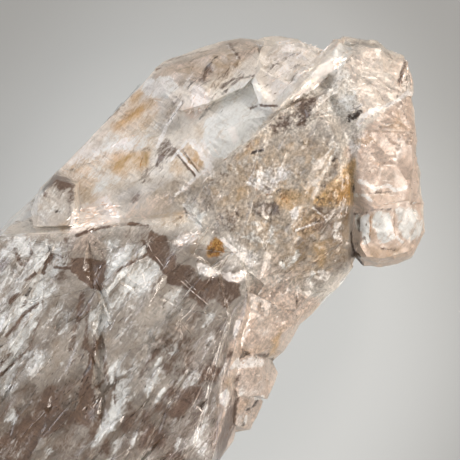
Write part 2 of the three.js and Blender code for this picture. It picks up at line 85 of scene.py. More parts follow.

# Places in these tables are flat rows x, y, x, y of the photograph's pixels, x to the right and y down
# Patches of tint on the front: mask, strength, soft edge in mm, outline. Some white frost and clear patches
# are painted highlights on faces that catch the lamps
PATCHES = (
    ("deep", 0.35, 0.68, (40, 187, 56, 171, 78, 182, 74, 232, 40, 228)),
    ("clear", 0.95, 0.51, (-30, 236, 0, 221, 66, 171, 50, 190, 43, 214, 0, 230)),
    ("clear", 0.45, 0.68, (42, 192, 56, 188, 70, 192, 70, 212, 60, 226, 41, 226)),
    ("smoke", 0.75, 0.51, (46, 184, 56, 173, 70, 178, 76, 186, 64, 191, 56, 186, 50, 190)),
    ("smoke", 0.62, 0.51, (71, 182, 80, 186, 72, 230)),
    ("smoke", 0.4, 0.68, (-6, 229, 0, 217, 25, 217, 40, 224)),
    ("gold", 0.52, 0.5, (60, 229, 74, 219, 72, 239, 66, 236)),
    # Painted highlight: white frost on the lit riser of the step
    ("frost", 0.95, 0.42, (79, 207, 108, 195, 125, 222, 98, 226, 75, 234, 75, 216)),
    ("blush", 0.25, 0.42, (76, 224, 104, 212, 118, 214, 76, 229)),
    ("blush", 0.45, 0.68, (60, 168, 76, 150, 90, 140, 108, 120, 110, 134, 98, 150, 76, 168)),
    ("frost", 0.5, 0.68, (62, 166, 78, 150, 96, 142, 104, 146, 98, 158, 76, 166)),
    ("frost", 0.6, 0.51, (76, 150, 90, 138, 96, 142, 82, 152)),
    ("clear", 0.85, 0.68, (106, 132, 112, 128, 120, 136, 130, 140, 157, 126, 150, 150, 100, 151)),
    ("gold", 0.84, 0.55, (110, 126, 150, 99, 159, 97, 157, 104, 118, 130)),
    ("gold", 0.63, 0.47, (128, 94, 140, 88, 146, 94, 128, 104)),
    ("gold", 0.34, 0.78, (116, 116, 136, 96, 160, 108, 158, 120, 136, 134, 120, 132)),
    ("gold", 0.63, 0.62, (112, 154, 149, 150, 149, 166, 124, 177, 112, 173)),
    ("gold", 0.95, 0.39, (134, 153, 147, 152, 149, 162, 141, 168, 134, 164)),
    ("clear", 0.9, 0.51, (94, 177, 112, 167, 121, 180, 105, 193, 93, 193)),
    ("gold", 0.47, 0.85, (82, 170, 94, 166, 97, 196, 85, 203, 80, 198)),
    ("deep", 0.3, 0.84, (112, 180, 135, 184, 141, 200, 121, 211, 112, 196)),
    ("clear", 0.95, 0.42, (138, 89, 146, 78, 170, 76, 180, 88, 168, 98, 152, 98)),
    ("deep", 0.45, 0.68, (158, 102, 182, 98, 186, 104, 180, 124, 168, 136, 158, 130)),
    ("smoke", 0.35, 0.51, (160, 100, 182, 98, 182, 108, 170, 124, 162, 116)),
    ("gold", 0.33, 0.85, (160, 108, 184, 106, 184, 118, 172, 122, 160, 120)),
    ("smoke", 0.65, 0.25, (157, 153, 166, 136, 179, 152, 162, 173, 156, 167)),
    ("smoke", 0.4, 0.51, (149, 158, 157, 151, 156, 168, 141, 183)),
    ("gold", 0.66, 0.5, (177, 154, 189, 143, 198, 150, 206, 160, 204, 168, 196, 176)),
    ("blush", 0.5, 0.25, (190, 160, 204, 158, 206, 166, 197, 176)),
    ("gold", 0.52, 0.53, (168, 164, 174, 156, 186, 170, 178, 176, 170, 172)),
    ("frost", 0.85, 0.24, (189, 141, 197, 141, 214, 168, 208, 170)),
    ("gold", 0.47, 0.53, (194, 126, 206, 123, 206, 139, 196, 141)),
    ("deep", 0.25, 0.84, (168, 120, 200, 118, 190, 136, 168, 134)),
    # Painted highlight: white frost on a small white-pink highlight
    ("frost", 0.95, 0.24, (190, 92, 198, 86, 208, 96, 211, 104, 207, 110, 194, 104)),
    ("blush", 0.7, 0.42, (182, 110, 195, 102, 206, 112, 198, 121, 184, 122)),
    ("deep", 0.4, 1.01, (130, 190, 176, 178, 184, 196, 172, 214, 150, 223, 124, 222)),
    ("blush", 0.5, 0.84, (134, 194, 170, 190, 176, 204, 150, 222, 124, 222)),
    ("smoke", 0.55, 0.25, (131, 206, 132, 200, 140, 193, 144, 196, 138, 204)),
    ("smoke", 0.3, 0.68, (142, 184, 152, 170, 178, 176, 192, 172, 190, 184, 176, 196)),
    ("gold", 0.43, 0.64, (168, 216, 184, 210, 190, 222, 178, 229, 160, 227)),
    ("smoke", 0.35, 0.42, (170, 218, 184, 214, 188, 222, 176, 228, 162, 226)),
    ("clear", 0.65, 0.51, (183, 206, 196, 200, 207, 215, 200, 230, 190, 222)),
    ("deep", 0.5, 0.68, (188, 190, 205, 180, 216, 188, 216, 206, 202, 214, 192, 202)),
    ("frost", 0.5, 0.51, (206, 166, 218, 168, 214, 178, 206, 180)),
    ("deep", 0.55, 0.51, (152, 76, 168, 62, 210, 49, 222, 40, 248, 36, 262, 42, 262, 52, 205, 86, 190, 84,
      178, 90, 162, 84)),
    ("blush", 0.45, 0.51, (152, 76, 168, 62, 210, 49, 222, 40, 248, 36, 262, 42, 262, 52, 205, 86, 190,
      84, 178, 90, 162, 84)),
    ("smoke", 0.28, 0.68, (224, 42, 262, 42, 258, 58, 240, 61)),
    ("smoke", 0.6, 0.2, (194, 84, 207, 67, 213, 62, 212, 75, 209, 83)),
    ("gold", 0.47, 0.64, (226, 68, 243, 60, 241, 72, 230, 87, 216, 93, 208, 91)),
    ("smoke", 0.35, 0.51, (226, 68, 243, 60, 241, 72, 230, 87, 216, 93, 208, 91)),
    ("clear", 0.6, 0.42, (180, 92, 184, 82, 196, 71, 188, 90)),
    ("clear", 0.95, 0.51, (233, 87, 244, 81, 256, 81, 262, 92, 262, 104, 278, 108, 246, 145, 224, 160,
      212, 160, 202, 142, 207, 122)),
    ("smoke", 0.28, 0.51, (240, 86, 256, 84, 258, 94, 242, 96)),
    ("smoke", 0.3, 0.51, (236, 118, 246, 112, 252, 126, 240, 130)),
    ("frost", 0.6, 0.3, (228, 132, 236, 126, 240, 138, 232, 150)),
    ("frost", 0.5, 0.68, (262, 58, 286, 40, 326, 51, 316, 70, 276, 104, 264, 104)),
    ("clear", 0.6, 0.51, (312, 60, 324, 55, 312, 74, 280, 105, 270, 105, 286, 84)),
    ("deep", 0.4, 0.68, (264, 48, 292, 47, 288, 62, 270, 76, 263, 72)),
    # Painted highlights: white frost on the bright sliver, where it reflects the lamps
    ("frost", 0.95, 0.24, (313, 77, 326, 62, 341, 65, 332, 74, 321, 81)),
    ("frost", 0.95, 0.24, (285, 103, 313, 80, 325, 83, 313, 92, 300, 99)),
    ("clear", 0.95, 0.3, (328, 58, 340, 44, 351, 43, 351, 57, 338, 65)),
    ("blush", 0.6, 0.42, (326, 54, 334, 40, 345, 35, 351, 38, 330, 57)),
    ("gold", 0.38, 0.64, (252, 145, 264, 124, 284, 107, 313, 94, 308, 112, 296, 128, 272, 140)),
    ("smoke", 0.4, 0.51, (262, 134, 268, 122, 284, 107, 313, 94, 304, 127, 272, 141)),
    ("smoke", 0.5, 0.42, (294, 130, 295, 118, 314, 95, 317, 106, 303, 131)),
    ("smoke", 0.5, 0.42, (278, 121, 292, 116, 289, 128, 276, 132)),
    ("deep", 0.5, 0.51, (312, 132, 318, 116, 330, 124, 346, 118, 352, 130, 332, 136)),
    ("clear", 0.55, 0.68, (316, 98, 330, 80, 345, 70, 357, 88, 357, 110, 340, 122, 320, 119)),
    ("deep", 0.2, 0.68, (316, 98, 330, 80, 345, 70, 357, 88, 357, 110, 340, 122, 320, 119)),
    ("deep", 0.55, 1.01, (196, 190, 206, 170, 256, 140, 300, 130, 340, 132, 344, 160, 320, 196, 350, 210,
      350, 262, 318, 288, 280, 292, 246, 262, 206, 236)),
    ("gold", 0.57, 0.53, (257, 136, 259, 144, 250, 154, 238, 160)),
    ("clear", 0.45, 0.68, (228, 168, 262, 152, 262, 160, 240, 178, 232, 176)),
    ("frost", 0.55, 0.68, (240, 186, 252, 170, 274, 164, 294, 172, 270, 200, 256, 190)),
    ("clear", 0.4, 0.84, (298, 160, 334, 142, 340, 150, 334, 160, 306, 176)),
    ("gold", 0.47, 0.64, (236, 190, 246, 190, 246, 200, 237, 199)),
    ("smoke", 0.5, 0.42, (208, 232, 216, 214, 228, 206, 242, 210, 240, 222, 232, 232, 216, 238)),
    ("smoke", 0.6, 0.42, (247, 206, 262, 200, 278, 205, 280, 216, 252, 216)),
    ("smoke", 0.45, 0.51, (206, 184, 222, 172, 232, 172, 228, 184, 214, 192)),
    ("clear", 0.5, 0.68, (236, 232, 246, 218, 262, 220, 278, 228, 276, 244, 262, 250, 248, 246)),
    ("frost", 0.5, 0.51, (222, 238, 232, 232, 262, 262, 252, 268)),
    ("blush", 0.5, 0.84, (250, 262, 276, 250, 300, 262, 310, 286, 284, 292, 256, 284)),
    ("clear", 0.65, 0.51, (276, 262, 284, 252, 296, 248, 299, 256, 288, 268, 280, 270)),
    ("gold", 0.66, 0.64, (274, 200, 284, 190, 298, 194, 312, 190, 308, 202, 290, 214, 278, 208)),
    ("smoke", 0.35, 0.51, (274, 198, 284, 190, 300, 196, 296, 206, 282, 206)),
    ("frost", 0.6, 0.3, (286, 212, 296, 206, 300, 210, 297, 220, 290, 218)),
    ("gold", 0.38, 0.64, (290, 232, 300, 210, 314, 206, 324, 220, 316, 230, 296, 234)),
    ("smoke", 0.4, 0.51, (288, 234, 300, 208, 314, 204, 334, 222, 332, 232)),
    ("gold", 1, 0.3, (353, 158, 353, 206, 330, 208, 308, 204)),
    ("iron", 0.72, 0.68, (330, 186, 350, 178, 352, 200, 336, 204, 322, 200)),
    ("smoke", 0.45, 0.68, (353, 170, 353, 206, 330, 208, 308, 204)),
    ("smoke", 0.3, 0.51, (306, 206, 352, 204, 352, 214, 326, 216)),
    ("deep", 0.6, 0.68, (324, 212, 352, 210, 352, 262, 338, 272, 326, 250)),
    ("gold", 0.57, 0.53, (311, 246, 322, 243, 326, 256, 322, 268, 314, 262)),
    ("smoke", 0.35, 0.68, (314, 224, 330, 222, 330, 236, 320, 240)),
    ("clear", 0.4, 0.68, (328, 226, 342, 222, 344, 240, 332, 244)),
    ("smoke", 0.4, 0.51, (330, 256, 344, 250, 352, 262, 346, 272, 332, 266)),
    ("clear", 0.4, 0.84, (300, 268, 326, 268, 334, 276, 312, 292, 302, 290)),
    ("smoke", 0.4, 0.42, (322, 176, 334, 160, 338, 166, 328, 184, 320, 190)),
    ("blush", 0.5, 0.68, (340, 66, 352, 46, 400, 54, 411, 68, 413, 92, 358, 128)),
    ("frost", 0.25, 0.84, (348, 70, 362, 58, 386, 54, 392, 80, 382, 104, 364, 112, 352, 92)),
    ("deep", 0.6, 0.42, (352, 42, 362, 40, 378, 44, 384, 49, 354, 48)),
    ("blush", 0.9, 0.51, (353, 160, 362, 128, 413, 92, 421, 206, 353, 210)),
    ("deep", 0.45, 0.84, (366, 150, 384, 134, 412, 130, 420, 160, 420, 180, 390, 182, 370, 178)),
    ("clear", 0.5, 0.51, (390, 136, 399, 136, 401, 160, 392, 162)),
    ("gold", 0.52, 0.64, (384, 132, 394, 113, 406, 132, 394, 135)),
    ("smoke", 0.25, 0.51, (384, 132, 394, 113, 406, 132, 394, 135)),
    ("smoke", 0.2, 0.68, (356, 130, 366, 120, 380, 120, 380, 136, 362, 138)),
    ("frost", 0.38, 0.3, (350, 140, 362, 132, 372, 138, 370, 150, 342, 158)),
    ("gold", 0.52, 0.5, (350, 138, 366, 136, 374, 142, 366, 148, 352, 146)),
    ("frost", 0.3, 0.42, (355, 156, 366, 150, 370, 168, 368, 184, 356, 186)),
    ("smoke", 0.22, 0.68, (372, 160, 392, 158, 392, 176, 374, 178)),
    ("frost", 0.2, 0.3, (355, 184, 374, 186, 386, 180, 392, 188, 386, 193, 368, 192, 366, 199, 355, 197)),
    ("gold", 0.28, 0.64, (366, 195, 388, 190, 396, 200, 370, 204)),
    ("blush", 0.95, 0.51, (353, 206, 422, 200, 424, 250, 404, 263, 364, 268, 352, 244)),
    ("clear", 0.9, 0.24, (354, 215, 366, 214, 369, 240, 362, 246, 359, 232, 354, 230)),
    ("deep", 0.45, 0.2, (354, 215, 366, 214, 369, 240, 362, 246, 359, 232, 354, 230)),
    ("clear", 0.95, 0.24, (369, 212, 388, 211, 390, 228, 394, 240, 376, 244, 374, 232, 371, 226)),
    ("deep", 0.3, 0.2, (369, 212, 388, 211, 390, 228, 394, 240, 376, 244, 374, 232, 371, 226)),
    ("clear", 0.9, 0.51, (393, 208, 415, 207, 423, 222, 420, 238, 408, 242, 396, 234)),
    ("gold", 0.47, 0.5, (365, 208, 369, 209, 373, 236, 369, 238)),
    ("gold", 0.38, 0.85, (354, 240, 376, 246, 412, 244, 416, 254, 404, 262, 364, 267)),
    ("frost", 0.25, 0.51, (364, 258, 396, 256, 398, 262, 366, 266)),
    ("frost", 0.3, 0.51, (398, 50, 406, 54, 414, 68, 412, 94, 402, 96, 404, 72)),
    ("gold", 0.66, 0.5, (350, 262, 358, 260, 364, 268, 352, 272)),
    ("blush", 0.7, 0.84, (250, 280, 300, 292, 316, 304, 282, 334, 270, 360, 268, 398, 222, 460, 212, 440,
      226, 350)),
    ("deep", 0.45, 1.01, (250, 280, 300, 292, 316, 304, 282, 334, 270, 360, 268, 398, 222, 460, 212, 440,
      226, 350)),
    ("smoke", 0.3, 0.68, (246, 284, 272, 288, 268, 300, 246, 300)),
    ("gold", 0.38, 0.64, (278, 334, 276, 326, 296, 318, 316, 304, 318, 308)),
    ("smoke", 0.3, 0.42, (280, 332, 316, 304, 318, 308, 290, 330)),
    ("frost", 0.75, 0.3, (232, 332, 236, 318, 242, 316, 240, 326, 234, 338)),
    ("frost", 0.7, 0.3, (240, 340, 246, 326, 251, 324, 248, 334, 242, 343)),
    ("clear", 0.35, 0.68, (255, 318, 274, 320, 272, 338, 256, 336)),
    ("gold", 0.81, 0.5, (272, 336, 279, 334, 277, 353, 268, 357)),
    ("smoke", 0.35, 0.51, (224, 342, 246, 344, 266, 341, 264, 352, 224, 354)),
    ("gold", 0.33, 0.64, (224, 342, 246, 344, 266, 341, 264, 352, 224, 354)),
    ("frost", 0.65, 0.3, (234, 360, 252, 354, 266, 358, 265, 366, 244, 368, 233, 366)),
    ("gold", 0.28, 0.53, (238, 360, 262, 358, 264, 366, 240, 368)),
    ("smoke", 0.35, 0.42, (240, 369, 260, 367, 256, 376, 240, 378)),
    ("clear", 0.5, 0.51, (240, 376, 262, 378, 267, 390, 256, 398, 244, 400, 237, 392)),
    ("smoke", 0.6, 0.25, (232, 376, 240, 372, 239, 388, 234, 386)),
    ("smoke", 0.5, 0.42, (230, 390, 240, 386, 242, 398, 234, 404, 228, 400)),
    ("frost", 0.85, 0.3, (219, 390, 228, 384, 231, 396, 225, 404, 219, 398)),
    ("gold", 0.43, 0.64, (222, 374, 234, 371, 232, 386, 224, 384)),
    ("gold", 0.43, 0.64, (236, 400, 254, 398, 246, 409, 236, 413)),
    ("clear", 0.5, 0.42, (237, 414, 245, 412, 243, 430, 233, 431)),
    ("smoke", 0.5, 0.42, (222, 400, 234, 398, 236, 412, 226, 416)),
    ("iron", 0.9, 0.25, (207, 249, 210, 242, 216, 238, 223, 241, 224, 248, 219, 255, 210, 256)),
    ("deep", 0.8, 1.18, (-20, 232, 70, 236, 125, 226, 180, 232, 244, 268, 246, 300, 226, 356, 222, 470,
      -300, 800, -300, 400)),
    ("clear", 0.72, 0.63, (-20, 228, 14, 226, 15, 246, 10, 254, -20, 280)),
    ("clear", 0.68, 0.63, (40, 246, 50, 240, 68, 240, 69, 262, 62, 272, 50, 275, 49, 283, 70, 283, 52,
      298, 32, 284, 31, 280, 46, 268)),
    ("clear", 0.59, 0.63, (20, 300, 30, 296, 45, 300, 47, 306, 38, 330, 30, 337, 22, 322)),
    ("clear", 0.45, 0.84, (2, 322, 14, 318, 30, 332, 34, 345, 30, 352, 12, 350, 2, 340)),
    ("clear", 0.3, 1.01, (50, 298, 74, 290, 80, 300, 72, 330, 60, 345, 50, 345, 46, 320)),
    ("clear", 0.53, 0.84, (20, 336, 32, 350, 16, 392, -30, 400, -60, 380)),
    ("clear", 0.5, 0.68, (16, 230, 40, 236, 34, 260, 18, 244)),
    ("clear", 0.4, 0.68, (28, 262, 40, 258, 46, 266, 42, 272, 30, 276)),
    ("blush", 0.45, 0.68, (74, 238, 88, 229, 110, 232, 112, 256, 76, 256)),
    ("clear", 0.5, 0.68, (100, 236, 146, 246, 150, 256, 114, 270, 112, 250)),
    ("clear", 0.53, 1.05, (112, 264, 150, 254, 160, 262, 165, 274, 140, 298, 124, 304, 110, 300, 108, 280)),
    ("clear", 0.51, 0.84, (94, 312, 112, 300, 116, 318, 110, 336, 96, 338)),
    ("frost", 0.4, 0.3, (34, 366, 45, 361, 53, 361, 40, 374, 33, 373)),
    ("clear", 0.45, 1.01, (26, 352, 56, 346, 60, 360, 48, 374, 30, 376)),
    ("clear", 0.5, 0.3, (6, 417, 14, 402, 19, 402, 24, 411, 18, 421)),
    ("clear", 0.64, 0.53, (117, 396, 121, 400, 121, 424, 110, 430, 98, 444, 93, 439)),
    ("clear", 0.59, 0.63, (114, 360, 128, 350, 130, 380, 136, 388, 122, 412, 116, 404)),
    ("clear", 0.51, 0.53, (116, 436, 126, 430, 118, 455, 110, 458)),
    ("clear", 0.68, 0.53, (162, 352, 166, 372, 150, 392, 145, 386, 147, 375)),
    ("clear", 0.4, 0.68, (130, 352, 146, 356, 140, 372, 130, 376)),
    ("clear", 0.64, 0.42, (192, 368, 199, 362, 201, 378, 196, 385, 189, 380)),
    ("clear", 0.51, 0.63, (203, 402, 214, 392, 219, 392, 206, 428, 197, 428, 195, 424, 203, 415)),
    ("clear", 0.5, 0.68, (194, 430, 206, 430, 210, 440, 206, 453, 196, 448)),
    ("frost", 0.35, 0.42, (150, 443, 160, 439, 159, 448, 144, 465, 136, 468)),
    ("clear", 0.4, 0.51, (50, 439, 62, 439, 60, 449, 50, 449)),
    ("blush", 0.4, 0.68, (177, 317, 194, 321, 198, 330, 182, 334, 174, 326)),
    ("clear", 0.4, 0.68, (146, 322, 165, 326, 168, 334, 152, 334)),
    ("clear", 0.5, 0.51, (210, 309, 217, 303, 216, 316, 197, 331)),
    ("clear", 0.45, 0.51, (208, 328, 218, 326, 216, 344, 206, 346)),
    ("clear", 0.35, 0.84, (160, 286, 180, 284, 188, 300, 180, 312, 164, 306)),
    ("clear", 0.35, 0.68, (166, 348, 182, 340, 186, 352, 176, 360)),
    ("clear", 0.3, 0.84, (120, 328, 140, 318, 150, 340, 136, 346, 120, 344)),
    ("smoke", 0.6, 0.42, (0, 262, 12, 253, 14, 260, 2, 284, -10, 296, -20, 300)),
    ("smoke", 0.4, 0.51, (2, 300, 16, 284, 22, 290, 18, 306, 4, 322)),
    ("smoke", 0.35, 0.51, (4, 312, 16, 306, 20, 316, 8, 330)),
    ("smoke", 0.75, 0.15, (17, 246, 21, 245, 29, 266, 23, 265)),
    ("smoke", 0.8, 0.15, (74, 259, 90, 256, 92, 262, 101, 264, 108, 260, 111, 262, 110, 268, 106, 271,
      106, 290, 98, 288, 82, 277, 82, 268, 75, 265)),
    ("smoke", 0.9, 0.15, (91, 261, 101, 264, 108, 260, 111, 263, 109, 268, 100, 269, 91, 266)),
    ("smoke", 0.55, 0.19, (58, 272, 72, 270, 74, 277, 68, 281, 58, 280)),
    ("smoke", 0.75, 0.19, (83, 290, 89, 290, 86, 316, 81, 326, 79, 347, 72, 348, 75, 330, 79, 318)),
    ("smoke", 0.75, 0.19, (90, 299, 93, 300, 94, 312, 92, 330, 94, 347, 85, 348, 88, 330)),
    ("smoke", 0.6, 0.25, (94, 340, 106, 334, 110, 344, 100, 348, 94, 348)),
    ("smoke", 0.85, 0.19, (93, 345, 98, 346, 99, 360, 95, 384, 100, 393, 106, 391, 100, 402, 92, 424, 80,
      416, 76, 410, 81, 404, 84, 384, 92, 355)),
    ("smoke", 0.75, 0.19, (102, 350, 108, 352, 112, 362, 112, 379, 107, 374, 107, 360)),
    ("smoke", 0.8, 0.42, (57, 379, 61, 382, 62, 402, 81, 408, 76, 420, 44, 434, 28, 470, -40, 480, -30,
      446, 10, 430, 46, 398)),
    ("smoke", 0.3, 1.01, (24, 384, 36, 378, 46, 384, 82, 376, 84, 396, 78, 404, 36, 404)),
    ("smoke", 0.35, 1.01, (62, 424, 84, 416, 100, 434, 92, 460, 60, 470, 50, 450)),
    ("smoke", 0.7, 0.25, (91, 422, 107, 404, 105, 420, 98, 432, 93, 432)),
    ("smoke", 0.7, 0.25, (100, 444, 110, 433, 115, 436, 112, 447, 104, 451)),
    ("smoke", 0.7, 0.51, (140, 427, 150, 414, 166, 426, 171, 434, 165, 442, 150, 446, 141, 441)),
    ("smoke", 0.5, 0.68, (160, 448, 176, 444, 188, 452, 184, 475, 156, 475)),
    ("smoke", 0.6, 0.51, (158, 401, 203, 384, 202, 394, 190, 403, 186, 412, 172, 412, 159, 407)),
    ("smoke", 0.7, 0.25, (195, 383, 203, 381, 203, 395, 196, 396)),
    ("smoke", 0.55, 0.42, (170, 382, 190, 384, 196, 390, 176, 396, 166, 392)),
    ("smoke", 0.65, 0.25, (141, 370, 151, 352, 161, 346, 163, 349, 141, 378)),
    ("smoke", 0.5, 0.42, (149, 342, 164, 342, 160, 351, 151, 351)),
    ("smoke", 0.8, 0.25, (228, 408, 238, 396, 237, 420, 218, 470, 214, 470, 218, 436)),
    ("smoke", 0.5, 0.68, (216, 414, 230, 410, 228, 440, 212, 450, 206, 436)),
    ("smoke", 0.65, 0.42, (200, 368, 214, 357, 221, 368, 217, 379, 202, 376)),
    ("smoke", 0.45, 0.51, (186, 345, 195, 345, 196, 366, 187, 364)),
    ("smoke", 0.5, 0.51, (162, 358, 188, 366, 186, 370, 168, 370, 160, 364)),
    ("smoke", 0.55, 0.51, (130, 396, 140, 404, 156, 402, 152, 414, 126, 432, 124, 420)),
    ("smoke", 0.42, 0.51, (120, 228, 150, 226, 170, 236, 168, 244, 150, 240, 124, 240)),
    ("smoke", 0.78, 0.25, (150, 240, 152, 230, 168, 236, 176, 252, 178, 262, 190, 262, 197, 268, 202, 278,
      216, 276, 240, 282, 241, 294, 226, 306, 214, 298, 206, 306, 196, 300, 186, 288, 170, 282, 166, 272,
      151, 256)),
    ("smoke", 0.45, 0.68, (186, 288, 206, 308, 196, 318, 184, 306, 178, 294)),
    ("smoke", 0.55, 0.25, (124, 318, 128, 307, 148, 295, 142, 306, 134, 314, 130, 322)),
    ("smoke", 0.45, 0.42, (164, 306, 172, 302, 176, 314, 170, 322, 164, 316)),
    ("smoke", 0.4, 0.51, (112, 294, 122, 292, 126, 304, 118, 312, 112, 306)),
    ("smoke", 0.4, 0.51, (196, 310, 206, 308, 204, 318, 194, 326, 186, 322)),
    ("smoke", 0.4, 0.51, (152, 330, 166, 334, 186, 332, 190, 342, 154, 340)),
    ("smoke", 0.4, 0.51, (220, 318, 226, 322, 222, 336, 214, 336)),
    ("smoke", 0.4, 0.51, (64, 228, 74, 226, 73, 244, 66, 240)),
    ("ink", 0.6, 0.15, (51, 246, 56, 245, 59, 251, 55, 254, 52, 251)),
    ("ink", 0.45, 0.19, (53, 254, 60, 251, 61, 256, 56, 260)),
    ("ink", 0.55, 0.15, (89, 374, 87, 370, 95, 355, 94, 366)),
    ("ink", 0.25, 0.25, (91, 262, 101, 265, 109, 261, 108, 268, 100, 269, 92, 267)),
    # Painted highlights: white frost on the flashes round the chevron, in these three patches
    ("frost", 0.6, 0.51, (171, 242, 184, 231, 200, 234, 198, 243, 182, 245)),
    ("frost", 0.75, 0.3, (196, 262, 208, 263, 220, 271, 216, 277, 201, 274)),
    ("frost", 0.95, 0.23, (218, 271, 232, 272, 248, 269, 244, 278, 229, 280)),
    ("frost", 0.35, 0.42, (216, 254, 236, 253, 246, 270, 220, 272)),
    ("iron", 0.3, 1.18, (186, 240, 208, 228, 228, 240, 226, 258, 200, 262, 190, 254)),
    ("deep", 0.6, 1.35, (-40, 340, 60, 335, 150, 345, 176, 400, 170, 480, -40, 500)),
    ("smoke", 0.2, 1.35, (-40, 350, 50, 345, 140, 355, 160, 400, 150, 480, -40, 500)),
    ("clear", 0.75, 0.84, (60, 168, 104, 146, 112, 150, 104, 172, 82, 180)),
    ("smoke", 0.3, 0.84, (44, 188, 56, 172, 76, 182, 74, 202, 50, 206)),
    ("gold", 0.53, 0.78, (62, 168, 84, 158, 108, 152, 112, 158, 80, 178)),
    ("frost", 0.5, 0.68, (140, 90, 148, 80, 168, 77, 176, 86, 166, 96, 152, 97)),
    # Painted highlight: blush and frost lightening the shaded wall of the step between the head and the
    # swelling
    ("blush", 0.8, 0.25, (341, 148, 348, 145, 354, 152, 352, 161, 345, 162, 341, 156)),
    ("frost", 0.35, 0.3, (345, 110, 350, 104, 356, 112, 353, 128, 356, 150, 350, 158, 346, 150)),
    ("deep", 0.4, 1.01, (152, 180, 192, 180, 208, 174, 184, 218, 154, 220)),
    ("deep", 0.5, 1.01, (300, 212, 352, 204, 352, 262, 318, 288, 290, 262)),
    ("deep", 0.35, 1.01, (236, 286, 300, 286, 312, 306, 282, 334, 250, 350, 234, 336)),
    ("deep", 0.35, 1.01, (356, 150, 418, 110, 420, 200, 356, 206)),
    ("blush", 0.6, 0.51, (385, 30, 420, 50, 440, 200, 434, 270, 350, 282, 362, 262, 418, 262, 424, 210,
      414, 90, 400, 54)),
    ("blush", 0.6, 0.51, (285, 292, 330, 296, 300, 345, 280, 400, 240, 460, 225, 455, 262, 400)),
    ("smoke", 0.85, 0.12, (76, 257, 92, 256, 110, 261, 110, 269, 105, 288, 97, 286, 83, 278, 76, 270)),
    ("clear", 0.4, 1.01, (-20, 236, 34, 236, 60, 250, 50, 300, 10, 330, -20, 330)),
    ("smoke", 0.4, 1.35, (160, 330, 215, 325, 222, 370, 205, 460, 165, 460)),
    ("gold", 0.38, 1.7, (200, 190, 240, 150, 300, 134, 345, 150, 350, 262, 300, 285, 240, 240)),
    ("gold", 0.33, 1.27, (104, 120, 140, 86, 160, 100, 160, 150, 150, 176, 84, 206, 60, 168, 104, 146)),
    ("gold", 0.28, 1.27, (152, 76, 210, 49, 262, 42, 262, 52, 225, 74, 190, 86, 162, 84)),
    # Painted highlight: window tint whitening the same bright sliver
    ("clear", 0.95, 0.3, (288, 104, 300, 88, 326, 61, 342, 58, 345, 66, 313, 94, 301, 101)),
    ("smoke", 0.22, 0.84, (264, 130, 288, 106, 314, 96, 310, 124, 276, 138)),
    ("gold", 0.38, 0.85, (174, 150, 203, 145, 207, 166, 178, 176)),
    ("gold", 0.37, 0.94, (112, 152, 150, 150, 150, 172, 112, 178)),
    ("gold", 0.28, 1.27, (152, 182, 192, 180, 208, 176, 184, 218, 154, 220)),
    ("clear", 0.4, 1.01, (112, 256, 148, 248, 162, 262, 152, 288, 122, 310, 98, 340, 92, 304, 108, 280)),
    # Painted highlight: window tint whitening the same lit riser
    ("clear", 0.8, 0.51, (78, 212, 108, 198, 120, 218, 80, 232)),
    ("clear", 0.6, 0.68, (144, 97, 150, 84, 170, 76, 168, 92)),
    # Painted highlight: more white frost on the same small highlight
    ("frost", 0.6, 0.51, (190, 100, 200, 88, 208, 96, 205, 112, 194, 120)),
    ("clear", 0.16, 1.35, (-20, 236, 70, 238, 125, 230, 180, 236, 236, 270, 236, 300, 222, 356, 215, 470,
      -40, 480)),
    ("deep", 0.35, 1.01, (228, 330, 250, 284, 300, 290, 306, 306, 266, 350, 264, 400, 236, 430, 224, 400)),
)

